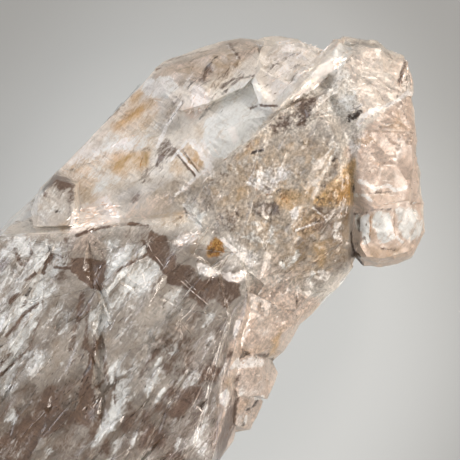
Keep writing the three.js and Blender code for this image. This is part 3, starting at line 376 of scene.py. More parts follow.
# Streaks of tint on the front: mask, strength, half width and soft edge in mm, path
STREAKS = (
    ("smoke", 0.36, 0.14, 0.33, (70, 171, 82, 165, 100, 161, 110, 153, 150, 150)),
    ("smoke", 0.4, 0.12, 0.23, (104, 122, 140, 84)),
    ("smoke", 0.3, 0.15, 0.33, (34, 196, 32, 212, 35, 230)),
    ("smoke", 0.5, 0.15, 0.2, (44, 182, 48, 196)),
    ("ink", 0.56, 0.12, 0.15, (59, 212, 65, 211)),
    ("smoke", 0.7, 0.15, 0.2, (80, 236, 96, 230, 130, 223, 150, 226)),
    ("frost", 0.9, 0.17, 0.2, (118, 146, 126, 140)),
    ("frost", 0.8, 0.16, 0.2, (158, 148, 166, 130)),
    ("smoke", 0.5, 0.12, 0.2, (184, 103, 168, 124)),
    ("frost", 0.7, 0.11, 0.17, (182, 104, 166, 127)),
    ("ink", 0.4, 0.12, 0.17, (168, 95, 172, 95, 178, 101)),
    ("smoke", 0.7, 0.12, 0.17, (176, 153, 196, 176)),
    ("frost", 0.8, 0.12, 0.17, (179, 153, 198, 175)),
    ("frost", 0.7, 0.12, 0.17, (172, 162, 188, 143)),
    ("smoke", 0.6, 0.11, 0.17, (184, 152, 199, 173)),
    ("frost", 0.75, 0.14, 0.17, (177, 196, 198, 177, 210, 169)),
    ("frost", 0.7, 0.12, 0.17, (204, 144, 213, 162)),
    ("ink", 0.48, 0.13, 0.17, (181, 217, 183, 219)),
    ("ink", 0.48, 0.11, 0.17, (185, 209, 189, 218)),
    ("frost", 0.6, 0.12, 0.17, (184, 204, 200, 228)),
    ("ink", 0.48, 0.09, 0.17, (188, 92, 192, 84, 218, 58)),
    ("smoke", 0.5, 0.12, 0.2, (156, 70, 168, 61, 182, 55, 212, 50)),
    ("smoke", 0.5, 0.15, 0.23, (228, 44, 240, 60)),
    ("frost", 0.5, 0.11, 0.17, (226, 44, 238, 61)),
    ("smoke", 0.55, 0.11, 0.17, (232, 88, 240, 81, 254, 79)),
    ("ink", 0.4, 0.11, 0.17, (256, 82, 260, 89)),
    ("ink", 0.4, 0.14, 0.19, (236, 95, 240, 91)),
    ("smoke", 0.7, 0.11, 0.17, (250, 111, 258, 107, 276, 109)),
    ("ink", 0.48, 0.1, 0.17, (200, 121, 220, 98, 228, 93)),
    ("smoke", 0.5, 0.12, 0.2, (222, 90, 228, 84, 244, 78)),
    ("frost", 0.85, 0.2, 0.2, (278, 43, 288, 41)),
    ("frost", 0.85, 0.17, 0.2, (286, 48, 298, 45)),
    ("frost", 0.8, 0.15, 0.2, (310, 46, 324, 51)),
    ("smoke", 0.5, 0.12, 0.2, (266, 76, 280, 62, 300, 54)),
    ("smoke", 0.4, 0.12, 0.2, (264, 90, 276, 80, 300, 66)),
    ("smoke", 0.4, 0.12, 0.2, (280, 98, 296, 76)),
    ("ink", 0.68, 0.13, 0.15, (252, 155, 263, 151)),
    ("ink", 0.44, 0.13, 0.17, (228, 166, 230, 168)),
    ("ink", 0.4, 0.17, 0.2, (264, 190, 268, 190)),
    ("ink", 0.48, 0.13, 0.17, (276, 193, 279, 190)),
    ("ink", 0.48, 0.13, 0.17, (287, 186, 287, 191)),
    ("ink", 0.4, 0.17, 0.2, (302, 181, 305, 184)),
    ("ink", 0.4, 0.19, 0.2, (316, 196, 318, 199)),
    ("ink", 0.4, 0.21, 0.23, (326, 166, 332, 160)),
    ("ink", 0.32, 0.23, 0.25, (320, 186, 326, 188)),
    ("ink", 0.4, 0.15, 0.2, (262, 222, 270, 220)),
    ("ink", 0.4, 0.13, 0.2, (258, 214, 262, 218)),
    ("ink", 0.4, 0.17, 0.2, (236, 226, 244, 216)),
    ("ink", 0.36, 0.23, 0.25, (248, 240, 256, 236)),
    ("ink", 0.44, 0.15, 0.2, (254, 254, 260, 258)),
    ("ink", 0.48, 0.1, 0.16, (279, 263, 286, 256)),
    ("ink", 0.4, 0.1, 0.16, (288, 262, 296, 254)),
    ("frost", 0.8, 0.15, 0.17, (222, 239, 250, 265)),
    ("frost", 0.6, 0.12, 0.17, (294, 231, 314, 223)),
    ("frost", 0.5, 0.11, 0.17, (311, 208, 324, 220)),
    ("ink", 0.32, 0.23, 0.25, (242, 268, 246, 264)),
    ("ink", 0.6, 0.28, 0.25, (211, 252, 214, 250)),
    ("ink", 0.36, 0.17, 0.2, (320, 240, 325, 236)),
    ("ink", 0.64, 0.26, 0.23, (346, 119, 352, 119, 357, 115)),
    ("ink", 0.48, 0.15, 0.2, (344, 124, 350, 122)),
    # Painted highlight: white frost along the bright ridge of the head
    ("frost", 0.95, 0.23, 0.17, (356, 127, 360, 119, 376, 111)),
    ("frost", 0.8, 0.15, 0.17, (351, 112, 358, 108)),
    ("frost", 0.85, 0.17, 0.17, (380, 110, 396, 102, 404, 95, 413, 93)),
    ("smoke", 0.6, 0.2, 0.23, (396, 86, 404, 64)),
    ("smoke", 0.5, 0.17, 0.23, (410, 88, 410, 76)),
    ("smoke", 0.5, 0.15, 0.2, (400, 86, 407, 77)),
    ("smoke", 0.4, 0.17, 0.25, (394, 100, 397, 84)),
    ("smoke", 0.4, 0.15, 0.2, (344, 66, 351, 58)),
    ("smoke", 0.5, 0.15, 0.2, (398, 104, 405, 124)),
    ("ink", 0.36, 0.1, 0.17, (397, 175, 402, 175)),
    ("ink", 0.64, 0.11, 0.15, (352, 185, 352, 192)),
    ("frost", 0.8, 0.16, 0.19, (357, 182, 364, 184, 372, 190, 384, 186, 392, 191, 404, 188)),
    ("frost", 0.7, 0.15, 0.19, (354, 196, 362, 196, 368, 200)),
    ("smoke", 0.5, 0.11, 0.17, (366, 194, 388, 192)),
    ("smoke", 0.6, 0.11, 0.16, (368, 211, 388, 209)),
    ("smoke", 0.6, 0.11, 0.16, (353, 214, 364, 213)),
    ("ink", 0.6, 0.13, 0.16, (357, 215, 357, 231)),
    ("ink", 0.36, 0.13, 0.19, (362, 224, 366, 226, 367, 240)),
    ("smoke", 0.5, 0.2, 0.23, (362, 236, 366, 246)),
    ("frost", 0.7, 0.14, 0.17, (388, 223, 392, 234, 400, 242)),
    ("blush", 0.8, 0.23, 0.2, (380, 222, 383, 227)),
    ("smoke", 0.6, 0.11, 0.16, (379, 248, 392, 250)),
    ("ink", 0.4, 0.12, 0.16, (353, 243, 356, 244)),
    # Painted shade: near-black in the crack between the head and the swelling, in these two streaks
    ("ink", 0.8, 0.14, 0.14, (350, 234, 350, 244, 363, 265)),
    ("ink", 0.72, 0.26, 0.17, (352, 254, 357, 257)),
    ("smoke", 0.6, 0.12, 0.19, (246, 352, 266, 354)),
    ("ink", 0.48, 0.12, 0.17, (270, 344, 268, 355)),
    ("ink", 0.32, 0.1, 0.16, (273, 337, 274, 343, 277, 344)),
    ("ink", 0.32, 0.19, 0.23, (260, 300, 262, 308)),
    ("ink", 0.44, 0.13, 0.17, (295, 296, 296, 299)),
    ("ink", 0.44, 0.13, 0.19, (258, 372, 260, 368)),
    ("frost", 0.9, 0.17, 0.17, (232, 364, 237, 357)),
    ("frost", 0.95, 0.2, 0.16, (256, 398, 262, 397)),
    ("ink", 0.64, 0.13, 0.16, (258, 401, 253, 407, 246, 410)),
    ("ink", 0.56, 0.12, 0.16, (244, 419, 243, 427)),
    ("frost", 0.7, 0.12, 0.16, (247, 416, 245, 424)),
    ("smoke", 0.5, 0.15, 0.2, (220, 368, 226, 356, 232, 350)),
    ("frost", 0.6, 0.12, 0.19, (221, 370, 226, 360)),
    ("smoke", 0.8, 0.15, 0.2, (55, 256, 50, 262, 48, 272)),
    ("smoke", 0.7, 0.16, 0.2, (57, 252, 54, 263)),
    ("smoke", 0.6, 0.12, 0.2, (60, 254, 68, 257)),
    ("smoke", 0.6, 0.12, 0.2, (34, 243, 37, 252, 30, 265)),
    ("smoke", 0.5, 0.11, 0.2, (36, 262, 40, 273)),
    ("smoke", 0.75, 0.17, 0.2, (31, 279, 39, 273)),
    ("ink", 0.6, 0.15, 0.2, (35, 287, 31, 294)),
    ("smoke", 0.8, 0.2, 0.2, (16, 300, 24, 293)),
    ("smoke", 0.7, 0.17, 0.2, (28, 305, 31, 300)),
    ("ink", 0.5, 0.17, 0.2, (31, 313, 37, 308)),
    ("smoke", 0.8, 0.15, 0.23, (12, 334, 32, 310, 43, 302)),
    ("smoke", 0.6, 0.15, 0.23, (45, 316, 36, 340)),
    ("smoke", 0.45, 0.11, 0.2, (49, 272, 47, 306)),
    ("smoke", 0.8, 0.15, 0.2, (59, 267, 74, 267)),
    ("smoke", 0.6, 0.12, 0.2, (66, 263, 74, 263)),
    ("smoke", 0.55, 0.2, 0.2, (70, 238, 72, 257)),
    ("smoke", 0.55, 0.16, 0.2, (104, 250, 108, 258)),
    ("smoke", 0.5, 0.12, 0.19, (98, 334, 104, 318)),
    ("smoke", 0.5, 0.12, 0.19, (103, 335, 110, 320)),
    ("smoke", 0.7, 0.12, 0.19, (120, 270, 150, 253)),
    ("smoke", 0.75, 0.15, 0.19, (146, 241, 152, 252)),
    ("smoke", 0.6, 0.14, 0.19, (156, 256, 166, 271)),
    ("smoke", 0.6, 0.14, 0.23, (166, 272, 156, 285, 153, 292)),
    ("smoke", 0.5, 0.12, 0.2, (165, 303, 173, 295)),
    ("smoke", 0.75, 0.14, 0.23, (4, 374, 36, 343)),
    ("smoke", 0.5, 0.14, 0.23, (4, 363, 14, 350)),
    ("smoke", 0.5, 0.12, 0.2, (72, 362, 85, 351)),
    ("smoke", 0.5, 0.15, 0.2, (42, 436, 34, 449)),
    ("smoke", 0.5, 0.12, 0.2, (15, 400, 5, 415)),
    ("smoke", 0.5, 0.12, 0.2, (20, 402, 25, 413)),
    ("clear", 0.6, 0.15, 0.2, (115, 364, 115, 424)),
    ("smoke", 0.5, 0.12, 0.2, (118, 362, 118, 398)),
    ("ink", 0.5, 0.17, 0.23, (201, 292, 202, 296)),
    ("ink", 0.55, 0.15, 0.2, (224, 290, 226, 293)),
    ("ink", 0.5, 0.15, 0.2, (97, 242, 98, 244)),
    ("smoke", 0.7, 0.12, 0.2, (100, 384, 107, 377)),
    ("clear", 0.5, 0.17, 0.23, (172, 424, 179, 408)),
    ("clear", 0.5, 0.15, 0.23, (186, 424, 192, 412)),
    ("clear", 0.5, 0.15, 0.23, (178, 442, 182, 432)),
    ("clear", 0.5, 0.15, 0.23, (134, 436, 138, 428)),
    ("clear", 0.55, 0.17, 0.23, (180, 378, 184, 372, 188, 384)),
    ("clear", 0.55, 0.15, 0.2, (201, 382, 206, 374)),
    ("clear", 0.5, 0.17, 0.23, (64, 354, 68, 362)),
    ("clear", 0.5, 0.15, 0.23, (85, 440, 90, 434)),
    ("clear", 0.4, 0.2, 0.25, (48, 455, 56, 446)),
    ("clear", 0.45, 0.2, 0.25, (158, 396, 166, 386)),
    ("clear", 0.45, 0.15, 0.25, (122, 372, 128, 366)),
)

# The step beside the blade and between the head and the swelling, up to where it opens as a crack
HEAD_STEP = (341, 64, 332, 78, 323, 90, 322, 98, 334, 108, 346, 122, 349, 142, 348, 165, 352, 190, 354, 226)

# Fields of flakes: piece, count, heading in degrees from x, spread, least and most length, width
# and depth under the skin in mm, outline
FIELDS = (
    # Painted highlight: white flakes on the lit riser of the step
    ("bright", 320, -29, 16, (0.8, 2.8), (0.12, 0.34), (0.0, 0.15), (76, 209, 110, 194, 125, 223, 74, 235)),
    # Painted highlights: white flakes on the flashes round the chevron, in this field and the next two
    ("bright", 90, -39, 22, (0.4, 1.4), (0.07, 0.2), (0.0, 0.2), (172, 242, 184, 231, 200, 233, 198, 243,
      180, 246)),
    ("bright", 70, -72, 25, (0.3, 1.2), (0.08, 0.22), (0.0, 0.2), (197, 262, 208, 264, 219, 272, 214, 278,
      202, 272)),
    ("bright", 150, -52, 25, (0.4, 1.6), (0.1, 0.28), (0.0, 0.25), (219, 271, 232, 273, 246, 270, 243,
      279, 228, 280)),
    ("bright", 90, -47, 90, (0.12, 0.4), (0.06, 0.14), (0.0, 0.2), (217, 254, 236, 254, 246, 272, 220,
      272)),
    ("bright", 60, -27, 20, (0.4, 2.0), (0.06, 0.2), (0.0, 0.3), (105, 130, 142, 122, 142, 149, 112, 152)),
    ("bright", 45, -22, 18, (0.5, 1.3), (0.1, 0.25), (0.0, 0.1), (118, 148, 120, 141, 132, 139, 130, 146)),
    # Painted highlight: white flakes on the small white-pink highlight
    ("bright", 160, 21, 15, (0.5, 2.2), (0.07, 0.2), (0.0, 0.3), (187, 100, 198, 86, 210, 92, 207, 112,
      190, 122)),
    ("bright", 330, -9, 12, (0.6, 2.6), (0.04, 0.14), (0.0, 0.5), (262, 60, 286, 40, 326, 48, 330, 60,
      296, 92, 264, 112)),
    ("bright", 90, -32, 35, (0.2, 0.8), (0.08, 0.2), (0.0, 0.1), (270, 45, 286, 38, 326, 46, 330, 54, 300,
      52)),
    ("bright", 240, 3, 90, (0.12, 0.55), (0.05, 0.13), (0.0, 0.3), (200, 200, 214, 168, 252, 150, 304,
      130, 340, 140, 342, 172, 300, 214, 248, 252, 222, 236, 190, 240)),
    ("bright", 130, 0, 8, (0.6, 1.8), (0.04, 0.08), (0.0, 0.1), (178, 196, 210, 178, 232, 206, 216, 236,
      186, 240)),
    ("bright", 130, -90, 8, (0.5, 1.6), (0.04, 0.09), (0.0, 0.1), (176, 150, 205, 142, 212, 172, 190, 196,
      176, 186)),
    ("bright", 200, -45, 16, (0.3, 1.8), (0.05, 0.14), (0.0, 0.3), (354, 150, 370, 126, 412, 96, 418, 150,
      418, 206, 354, 206)),
    ("bright", 110, -47, 90, (0.2, 0.8), (0.06, 0.16), (0.0, 0.2), (394, 208, 414, 208, 422, 228, 414,
      240, 396, 236)),
    ("bright", 60, -47, 90, (0.15, 0.5), (0.06, 0.14), (0.0, 0.2), (371, 210, 389, 210, 389, 245, 372,
      245)),
    ("bright", 130, 33, 25, (0.3, 1.6), (0.07, 0.2), (0.0, 0.2), (388, 52, 402, 54, 411, 68, 412, 94, 396,
      98)),
    ("bright", 90, -12, 40, (0.3, 1.6), (0.06, 0.18), (0.0, 0.4), (338, 62, 354, 40, 386, 52, 394, 100,
      360, 126, 350, 100)),
    ("bright", 110, -37, 50, (0.25, 1.0), (0.08, 0.22), (0.0, 0.2), (350, 134, 370, 132, 368, 154, 352,
      156)),
    ("bright", 170, 15, 16, (0.3, 1.5), (0.07, 0.2), (0.0, 0.2), (232, 342, 236, 316, 252, 312, 254, 330,
      240, 346)),
    ("bright", 80, -7, 60, (0.2, 0.9), (0.06, 0.16), (0.0, 0.3), (246, 286, 300, 284, 310, 308, 282, 330,
      268, 366, 236, 368)),
    ("bright", 60, -32, 25, (0.3, 1.2), (0.06, 0.16), (0.0, 0.2), (232, 356, 264, 358, 262, 366, 232, 370)),
    ("bright", 70, 8, 25, (0.3, 1.0), (0.06, 0.16), (0.0, 0.2), (218, 386, 232, 384, 228, 410, 216, 404)),
    ("bright", 70, -7, 60, (0.15, 0.7), (0.05, 0.13), (0.0, 0.3), (312, 212, 350, 214, 350, 250, 318, 284,
      284, 270)),
    ("bright", 60, 3, 9, (0.5, 2.2), (0.035, 0.07), (0.0, 0.1), (0, 236, 180, 236, 236, 300, 226, 400,
      210, 460, -90, 560, -160, 460)),
    ("bright", 50, -87, 9, (0.4, 1.5), (0.035, 0.07), (0.0, 0.1), (100, 240, 190, 240, 190, 300, 120, 330)),
    ("dark", 420, 3, 90, (0.1, 0.4), (0.05, 0.12), (0.0, 0.3), (214, 214, 226, 176, 262, 150, 304, 132,
      338, 142, 340, 172, 300, 212, 252, 236)),
    ("dark", 60, -47, 90, (0.1, 0.35), (0.05, 0.1), (0.0, 0.1), (217, 254, 236, 254, 246, 272, 220, 272)),
    ("dark", 260, 10, 18, (0.3, 1.6), (0.04, 0.13), (0.0, 0.5), (0, 236, 180, 236, 236, 300, 226, 400,
      210, 460, -60, 520, -60, 300)),
    ("dark", 60, 13, 15, (0.3, 1.2), (0.08, 0.2), (0.0, 0.4), (56, 376, 104, 372, 108, 402, 62, 410)),
    ("dark", 130, -44, 18, (0.2, 1.2), (0.04, 0.09), (0.0, 0.2), (354, 150, 370, 126, 412, 96, 418, 150,
      418, 206, 354, 206)),
    ("dark", 40, 31, 15, (0.3, 1.4), (0.05, 0.14), (0.0, 0.2), (396, 58, 404, 58, 410, 90, 398, 94)),
    ("dark", 110, -9, 14, (0.3, 1.8), (0.04, 0.09), (0.0, 0.4), (158, 84, 200, 50, 262, 42, 320, 50, 262,
      108, 212, 92)),
    ("dark", 60, -12, 25, (0.2, 1.2), (0.04, 0.09), (0.0, 0.4), (212, 100, 262, 84, 290, 96, 240, 150,
      208, 160)),
    ("dark", 90, -7, 50, (0.2, 0.8), (0.04, 0.1), (0.0, 0.3), (246, 286, 300, 284, 310, 308, 282, 330,
      262, 400, 240, 420, 230, 340)),
    ("dark", 110, -7, 90, (0.12, 0.5), (0.05, 0.11), (0.0, 0.3), (300, 212, 350, 200, 350, 260, 318, 284,
      284, 270)),
    ("iron", 90, -17, 90, (0.2, 0.7), (0.1, 0.3), (0.0, 0.25), (208, 246, 212, 240, 222, 240, 226, 248,
      222, 256, 212, 257)),
    ("iron", 45, -17, 60, (0.2, 0.6), (0.08, 0.2), (0.0, 0.15), (254, 186, 272, 188, 270, 200, 256, 200)),
    ("iron", 25, -17, 60, (0.2, 0.6), (0.08, 0.2), (0.0, 0.15), (279, 196, 288, 192, 289, 200, 281, 204)),
    ("iron", 110, 15, 18, (0.3, 1.6), (0.05, 0.16), (0.0, 0.5), (351, 164, 351, 226, 306, 214, 320, 202,
      336, 182)),
    ("iron", 50, -17, 18, (0.4, 1.6), (0.06, 0.2), (0.1, 0.5), (108, 130, 120, 116, 150, 96, 158, 98, 140,
      112, 118, 128)),
    ("iron", 45, -27, 30, (0.3, 1.2), (0.06, 0.2), (0.1, 0.5), (114, 152, 148, 151, 150, 174, 116, 178)),
    ("iron", 30, -7, 30, (0.3, 1.2), (0.06, 0.16), (0.0, 0.4), (216, 168, 228, 158, 262, 140, 262, 146,
      232, 164)),
    # Painted highlight: white flakes on the bright sliver, where it reflects the lamps
    ("bright", 170, -10, 6, (0.8, 2.4), (0.2, 0.5), (0.0, 0.15), (285, 103, 300, 90, 313, 79, 326, 62,
      341, 64, 332, 75, 321, 84, 313, 92, 300, 99)),
    ("dark", 220, 10, 14, (0.4, 1.6), (0.03, 0.07), (0.0, 0.2), (100, 290, 160, 262, 200, 300, 225, 320,
      222, 400, 190, 450, 110, 450, 40, 400, 20, 330)),
    ("bright", 170, 5, 30, (0.2, 1.0), (0.03, 0.07), (0.0, 0.1), (100, 290, 160, 262, 200, 300, 225, 320,
      222, 400, 190, 450, 110, 450, 40, 400, 20, 330)),
    ("dark", 110, -87, 10, (0.3, 1.2), (0.03, 0.06), (0.0, 0.2), (120, 236, 180, 236, 236, 280, 226, 330,
      170, 330, 112, 290)),
)

# Single fine lines: piece, width and depth under the skin in mm, path
HAIRLINES = (
    ("bright", 0.11, 0, (179, 104, 167, 123)),
    ("bright", 0.1, 0, (166, 128, 158, 148)),
    ("bright", 0.1, 0, (176, 152, 198, 176)),
    ("bright", 0.08, 0, (181, 149, 203, 173)),
    ("bright", 0.08, 0, (186, 147, 197, 158)),
    ("bright", 0.1, 0, (198, 166, 204, 146, 212, 157)),
    ("bright", 0.08, 0, (209, 142, 220, 158)),
    ("bright", 0.08, 0, (174, 198, 211, 169)),
    ("bright", 0.08, 0, (238, 58, 262, 84, 263, 92)),
    ("bright", 0.11, 0, (248, 78, 256, 82, 261, 88)),
    ("bright", 0.08, 0, (168, 149, 186, 140, 204, 122, 216, 96)),
    ("bright", 0.11, 0, (222, 239, 248, 264)),
    ("bright", 0.08, 0, (226, 242, 236, 251)),
    # Painted highlight: white flakes along the same bright ridge of the head
    ("bright", 0.15, 0, (413, 93, 396, 102, 380, 113)),
    ("bright", 0.18, 0, (378, 110, 366, 118, 357, 127)),
    ("bright", 0.1, 0, (352, 160, 352, 214)),
    ("bright", 0.11, 0, (355, 190, 388, 187, 396, 190)),
    ("bright", 0.08, 0, (358, 183, 376, 181, 390, 182)),
    ("bright", 0.08, 0, (356, 197, 374, 195, 398, 196)),
    ("bright", 0.1, 0, (389, 208, 390, 228, 396, 246)),
    ("bright", 0.08, 0, (370, 210, 389, 210)),
    ("bright", 0.08, 0, (312, 208, 323, 218)),
    ("bright", 0.08, 0, (300, 228, 322, 222)),
    ("bright", 0.11, 0, (236, 364, 250, 358, 264, 360)),
    ("bright", 0.08, 0, (139, 153, 120, 157, 82, 172)),
    ("bright", 0.08, 0, (66, 173, 80, 184, 78, 204, 74, 222)),
    ("bright", 0.07, 0, (6, 220, 41, 190)),
    ("bright", 0.08, 0, (188, 128, 200, 116, 208, 100)),
    ("bright", 0.09, 0, (313, 120, 326, 118, 338, 120)),
    ("bright", 0.09, 0, (314, 117, 327, 113, 340, 113)),
    ("bright", 0.09, 0, (314, 114, 327, 108, 338, 105)),
    ("bright", 0.08, 0, (313, 111, 333, 98)),
    ("bright", 0.08, 0, (313, 108, 321, 98, 329, 91)),
    ("bright", 0.07, 0, (315, 122, 336, 127)),
    ("dark", 0.07, 0, (314, 119, 326, 115, 338, 116)),
    ("dark", 0.07, 0, (314, 115, 326, 110, 338, 109)),
    ("dark", 0.07, 0, (314, 112, 324, 105, 335, 101)),
    ("dark", 0.1, 0, (139, 84, 124, 98, 106, 121)),
    ("dark", 0.12, 0, (201, 120, 214, 98, 220, 92)),
    ("dark", 0.09, 0, (232, 86, 240, 80, 254, 79)),
    ("dark", 0.1, 0, (259, 108, 276, 108)),
    ("dark", 0.19, 0, (252, 154, 262, 151)),
    ("dark", 0.07, 0, (184, 82, 160, 104)),
    ("dark", 0.12, 0, (187, 90, 208, 72, 214, 62)),
    ("dark", 0.1, 0, (190, 94, 211, 82)),
    ("dark", 0.1, 0, (174, 146, 145, 182)),
    ("dark", 0.09, 0, (176, 154, 196, 177)),
    ("dark", 0.2, 0, (188, 217, 186, 211)),
    ("dark", 0.26, 0, (211, 252, 216, 252)),
    ("dark", 0.12, 0, (102, 227, 122, 223)),
    ("dark", 0.14, 0, (135, 202, 141, 198)),
    ("dark", 0.14, 0, (268, 344, 269, 354)),
    ("dark", 0.17, 0, (258, 401, 248, 412)),
    ("dark", 0.17, 0, (245, 419, 241, 428)),
    # Painted shade: a dark line of flakes along the same crack
    ("dark", 0.34, 0, (350, 230, 351, 244, 356, 256, 363, 265)),
    ("dark", 0.19, 0, (352, 185, 352, 192)),
    ("dark", 0.14, 0, (358, 221, 358, 229)),
    ("dark", 0.22, 0, (346, 119, 357, 114)),
    ("dark", 0.12, 0, (350, 112, 358, 109)),
    ("dark", 0.12, 0, (300, 178, 307, 172)),
    ("iron", 0.19, 0, (368, 210, 368, 238)),
    ("iron", 0.14, 0, (392, 212, 391, 226, 394, 240)),
    ("iron", 0.26, 0, (351, 139, 355, 140)),
    ("iron", 0.26, 0.1, (157, 98, 112, 127)),
    ("iron", 0.26, 0, (143, 157, 141, 167)),
    ("iron", 0.17, 0, (243, 152, 258, 138)),
    ("bright", 0.1, 0, (118, 272, 149, 256)),
    ("bright", 0.1, 0, (183, 280, 208, 303)),
    ("bright", 0.08, 0, (186, 279, 198, 290)),
    ("bright", 0.09, 0, (148, 240, 154, 251)),
    ("bright", 0.09, 0, (158, 256, 168, 270)),
    ("bright", 0.09, 0, (145, 272, 148, 284)),
    ("bright", 0.08, 0, (188, 318, 198, 308)),
    ("bright", 0.08, 0, (182, 318, 190, 311, 197, 302)),
)

# Outlines of the crystal's faces and lobes, seen from the front
PRISM_FRONT = (
    (-20.1, 20.6), (-13, 13.5), (-6.1, 8), (-1.9, 5.1), (-1, -2.6), (-3.8, -6.9), (-9.3, -8.3),
    (-14.7, -11.7), (-22, -18.5), (-50, -22), (-72, 0), (-50, 23)
)
PALE_SHOULDER = ((-9.1, 20.9), (9, 20.7), (10.6, 12.5), (-3.2, 10.7), (-13, 13.5))
WINDOW = ((9.3, 12.9), (13.3, 13.2), (17.2, 10), (17.5, 6), (12.3, 6), (2.4, 6.5))
TOP_LOBE = (
    (9, 20.7), (16.7, 17.2), (24.8, 6.8), (19.7, 6.4), (15.7, 7), (14.1, 11.4), (9.8, 13.4), (5.8, 13.9)
)
SWELLING = (
    (18.8, 5.5), (24, 2.7), (22.1, -1.7), (18, -4.6), (13, -8.4), (6.6, -14.4), (-2.7, -14.5),
    (-5.3, -13.5), (-4.6, -6), (-1, -2.6), (-2, 4.9), (-3.6, 10.3), (2.4, 6.5), (12.3, 6)
)
HEAD = (
    (26.3, 6.4), (31.5, 5), (32, -3), (26.8, -6.5), (23.8, -10), (16, -8), (18.6, -3), (22, 1), (24, 5)
)
SIDE_LOBE = (
    (-4.6, -6), (-5.3, -14.5), (-11.8, -18.5), (-17.6, -19.5), (-19.5, -17.5), (-14.7, -11.7), (-9.3, -8.3)
)


def linear(code):
    """Turns an sRGB hex colour into linear red, green and blue."""
    parts = np.array([int(code[i:i + 2], 16) for i in (1, 3, 5)]) / 255
    curved = np.where(parts <= 0.04045, parts / 12.92, ((parts + 0.055) / 1.055) ** 2.4)
    return tuple(float(value) for value in curved)


def smooth_step(value):
    """Eases 0 to 1 with a level start and end: three squares less two cubes."""
    value = np.clip(value, 0.0, 1.0)
    return value * value * (3 - 2 * value)


def hashed(cells, seed):
    """A random number from 0 to 1 for each whole-number cell, by mixing its three numbers and the seed."""
    cells = cells.astype(np.int64).astype(np.uint32)
    mixed = cells[..., 0] * np.uint32(374761393) + cells[..., 1] * np.uint32(668265263)
    mixed = mixed + cells[..., 2] * np.uint32(2246822519) + np.uint32(seed * 40503 % 4294967296)
    mixed = (mixed ^ (mixed >> np.uint32(15))) * np.uint32(2246822519)
    mixed = (mixed ^ (mixed >> np.uint32(13))) * np.uint32(3266489917)
    return ((mixed ^ (mixed >> np.uint32(16))) & np.uint32(0xFFFFFF)) / 16777215.0


def soft_noise(points, size, seed):
    """Gradient noise from about -1 to 1: each lattice corner holds a hashed slope, and a point blends
    the eight slopes round it with the smooth step. size is the lattice spacing, one number or three."""
    scaled = points / np.asarray(size, float)
    base = np.floor(scaled)
    part = scaled - base
    ease = part * part * part * (part * (part * 6 - 15) + 10)
    total = np.zeros(len(points))
    for corner in np.ndindex(2, 2, 2):
        step = np.array(corner)
        cell = base + step
        offset = part - step
        slope = np.stack([hashed(cell, seed * 3 + k) for k in range(3)], axis=1) * 2 - 1
        weight = np.prod(np.where(step == 1, ease, 1 - ease), axis=1)
        total += weight * np.sum(slope * offset, axis=1)
    return total * 1.6


def layered_noise(points, size, seed, layers=3, gain=0.5):
    """A sum of gradient noises, each half the size of the last and gain times as strong."""
    total = np.zeros(len(points))
    size = np.asarray(size, float)
    strength = 1.0
    for layer in range(layers):
        total += soft_noise(points, size / 2 ** layer, seed + 17 * layer) * strength
        strength *= gain
    return total


def cell_noise(points, size, seed):
    """Distances to the nearest and second nearest hashed points of a lattice, the offset from the
    nearest one, and its whole-number cell."""
    scaled = points / np.asarray(size, float)
    base = np.floor(scaled)
    first = np.full(len(points), 9.0)
    second = np.full(len(points), 9.0)
    offset = np.zeros_like(points)
    owner = np.zeros_like(points)
    for step in np.ndindex(3, 3, 3):
        cell = base + np.array(step) - 1
        spot = cell + np.stack([hashed(cell, seed * 3 + k) for k in range(3)], axis=1)
        away = scaled - spot
        distance = np.sqrt(np.sum(away * away, axis=1))
        nearer = distance < first
        second = np.where(nearer, first, np.minimum(second, distance))
        first = np.where(nearer, distance, first)
        offset[nearer] = away[nearer]
        owner[nearer] = cell[nearer]
    return first, second, offset, owner


def turned(points, angle):
    """The points with x and y turned by -angle degrees, so x then runs along that heading."""
    c = math.cos(math.radians(angle))
    s = math.sin(math.radians(angle))
    x = points[:, 0] * c + points[:, 1] * s
    y = -points[:, 0] * s + points[:, 1] * c
    return np.stack([x, y, points[:, 2]], axis=1)


def line_distance(flat, path):
    """Distance from each flat point to a line through the path's points."""
    best = np.full(len(flat), 1e9)
    path = np.asarray(path, float)
    for start, end in zip(path[:-1], path[1:]):
        run = end - start
        share = np.clip(((flat - start) @ run) / max(run @ run, 1e-9), 0, 1)
        gap = flat - start - share[:, None] * run
        best = np.minimum(best, np.sqrt(np.sum(gap * gap, axis=1)))
    return best


def inside(flat, outline, soft):
    """1 inside an outline and 0 outside it, eased over soft millimetres on each side of its edge."""
    outline = np.asarray(outline, float)
    x, y = flat.T
    within = np.zeros(len(flat), bool)
    for (ax, ay), (bx, by) in zip(outline, np.roll(outline, -1, axis=0)):
        spans = (ay > y) != (by > y)
        rise = np.where(by == ay, 1e-12, by - ay)
        within ^= spans & (x < (bx - ax) * (y - ay) / rise + ax)
    distance = line_distance(flat, np.vstack([outline, outline[:1]]))
    signed = np.where(within, distance, -distance)
    return smooth_step(0.5 + signed / (2 * soft))


def corner_normals(points, faces):
    """Unit normals at the points, from the crossed edges of every triangle that meets there."""
    a, b, c = (points[faces[:, k]] for k in range(3))
    crossed = np.cross(b - a, c - a)
    total = np.zeros_like(points)
    for k in range(3):
        for axis in range(3):
            total[:, axis] += np.bincount(faces[:, k], crossed[:, axis], minlength=len(points))
    return total / np.maximum(np.linalg.norm(total, axis=1, keepdims=True), 1e-12)


def settled(points, faces, share, turns):
    """Moves each point half of the way to the mean of its neighbours, times its share from 0 to 1, and
    does that turns times, so a step in the surface becomes a slope."""
    start = np.concatenate([faces[:, 0], faces[:, 1], faces[:, 2]])
    end = np.concatenate([faces[:, 1], faces[:, 2], faces[:, 0]])
    count = np.maximum(np.bincount(start, minlength=len(points)), 1)
    for turn in range(turns):
        mean = np.stack([
            np.bincount(start, points[end, axis], minlength=len(points)) / count for axis in range(3)
        ], axis=1)
        points = points + 0.5 * share[:, None] * (mean - points)
    return points


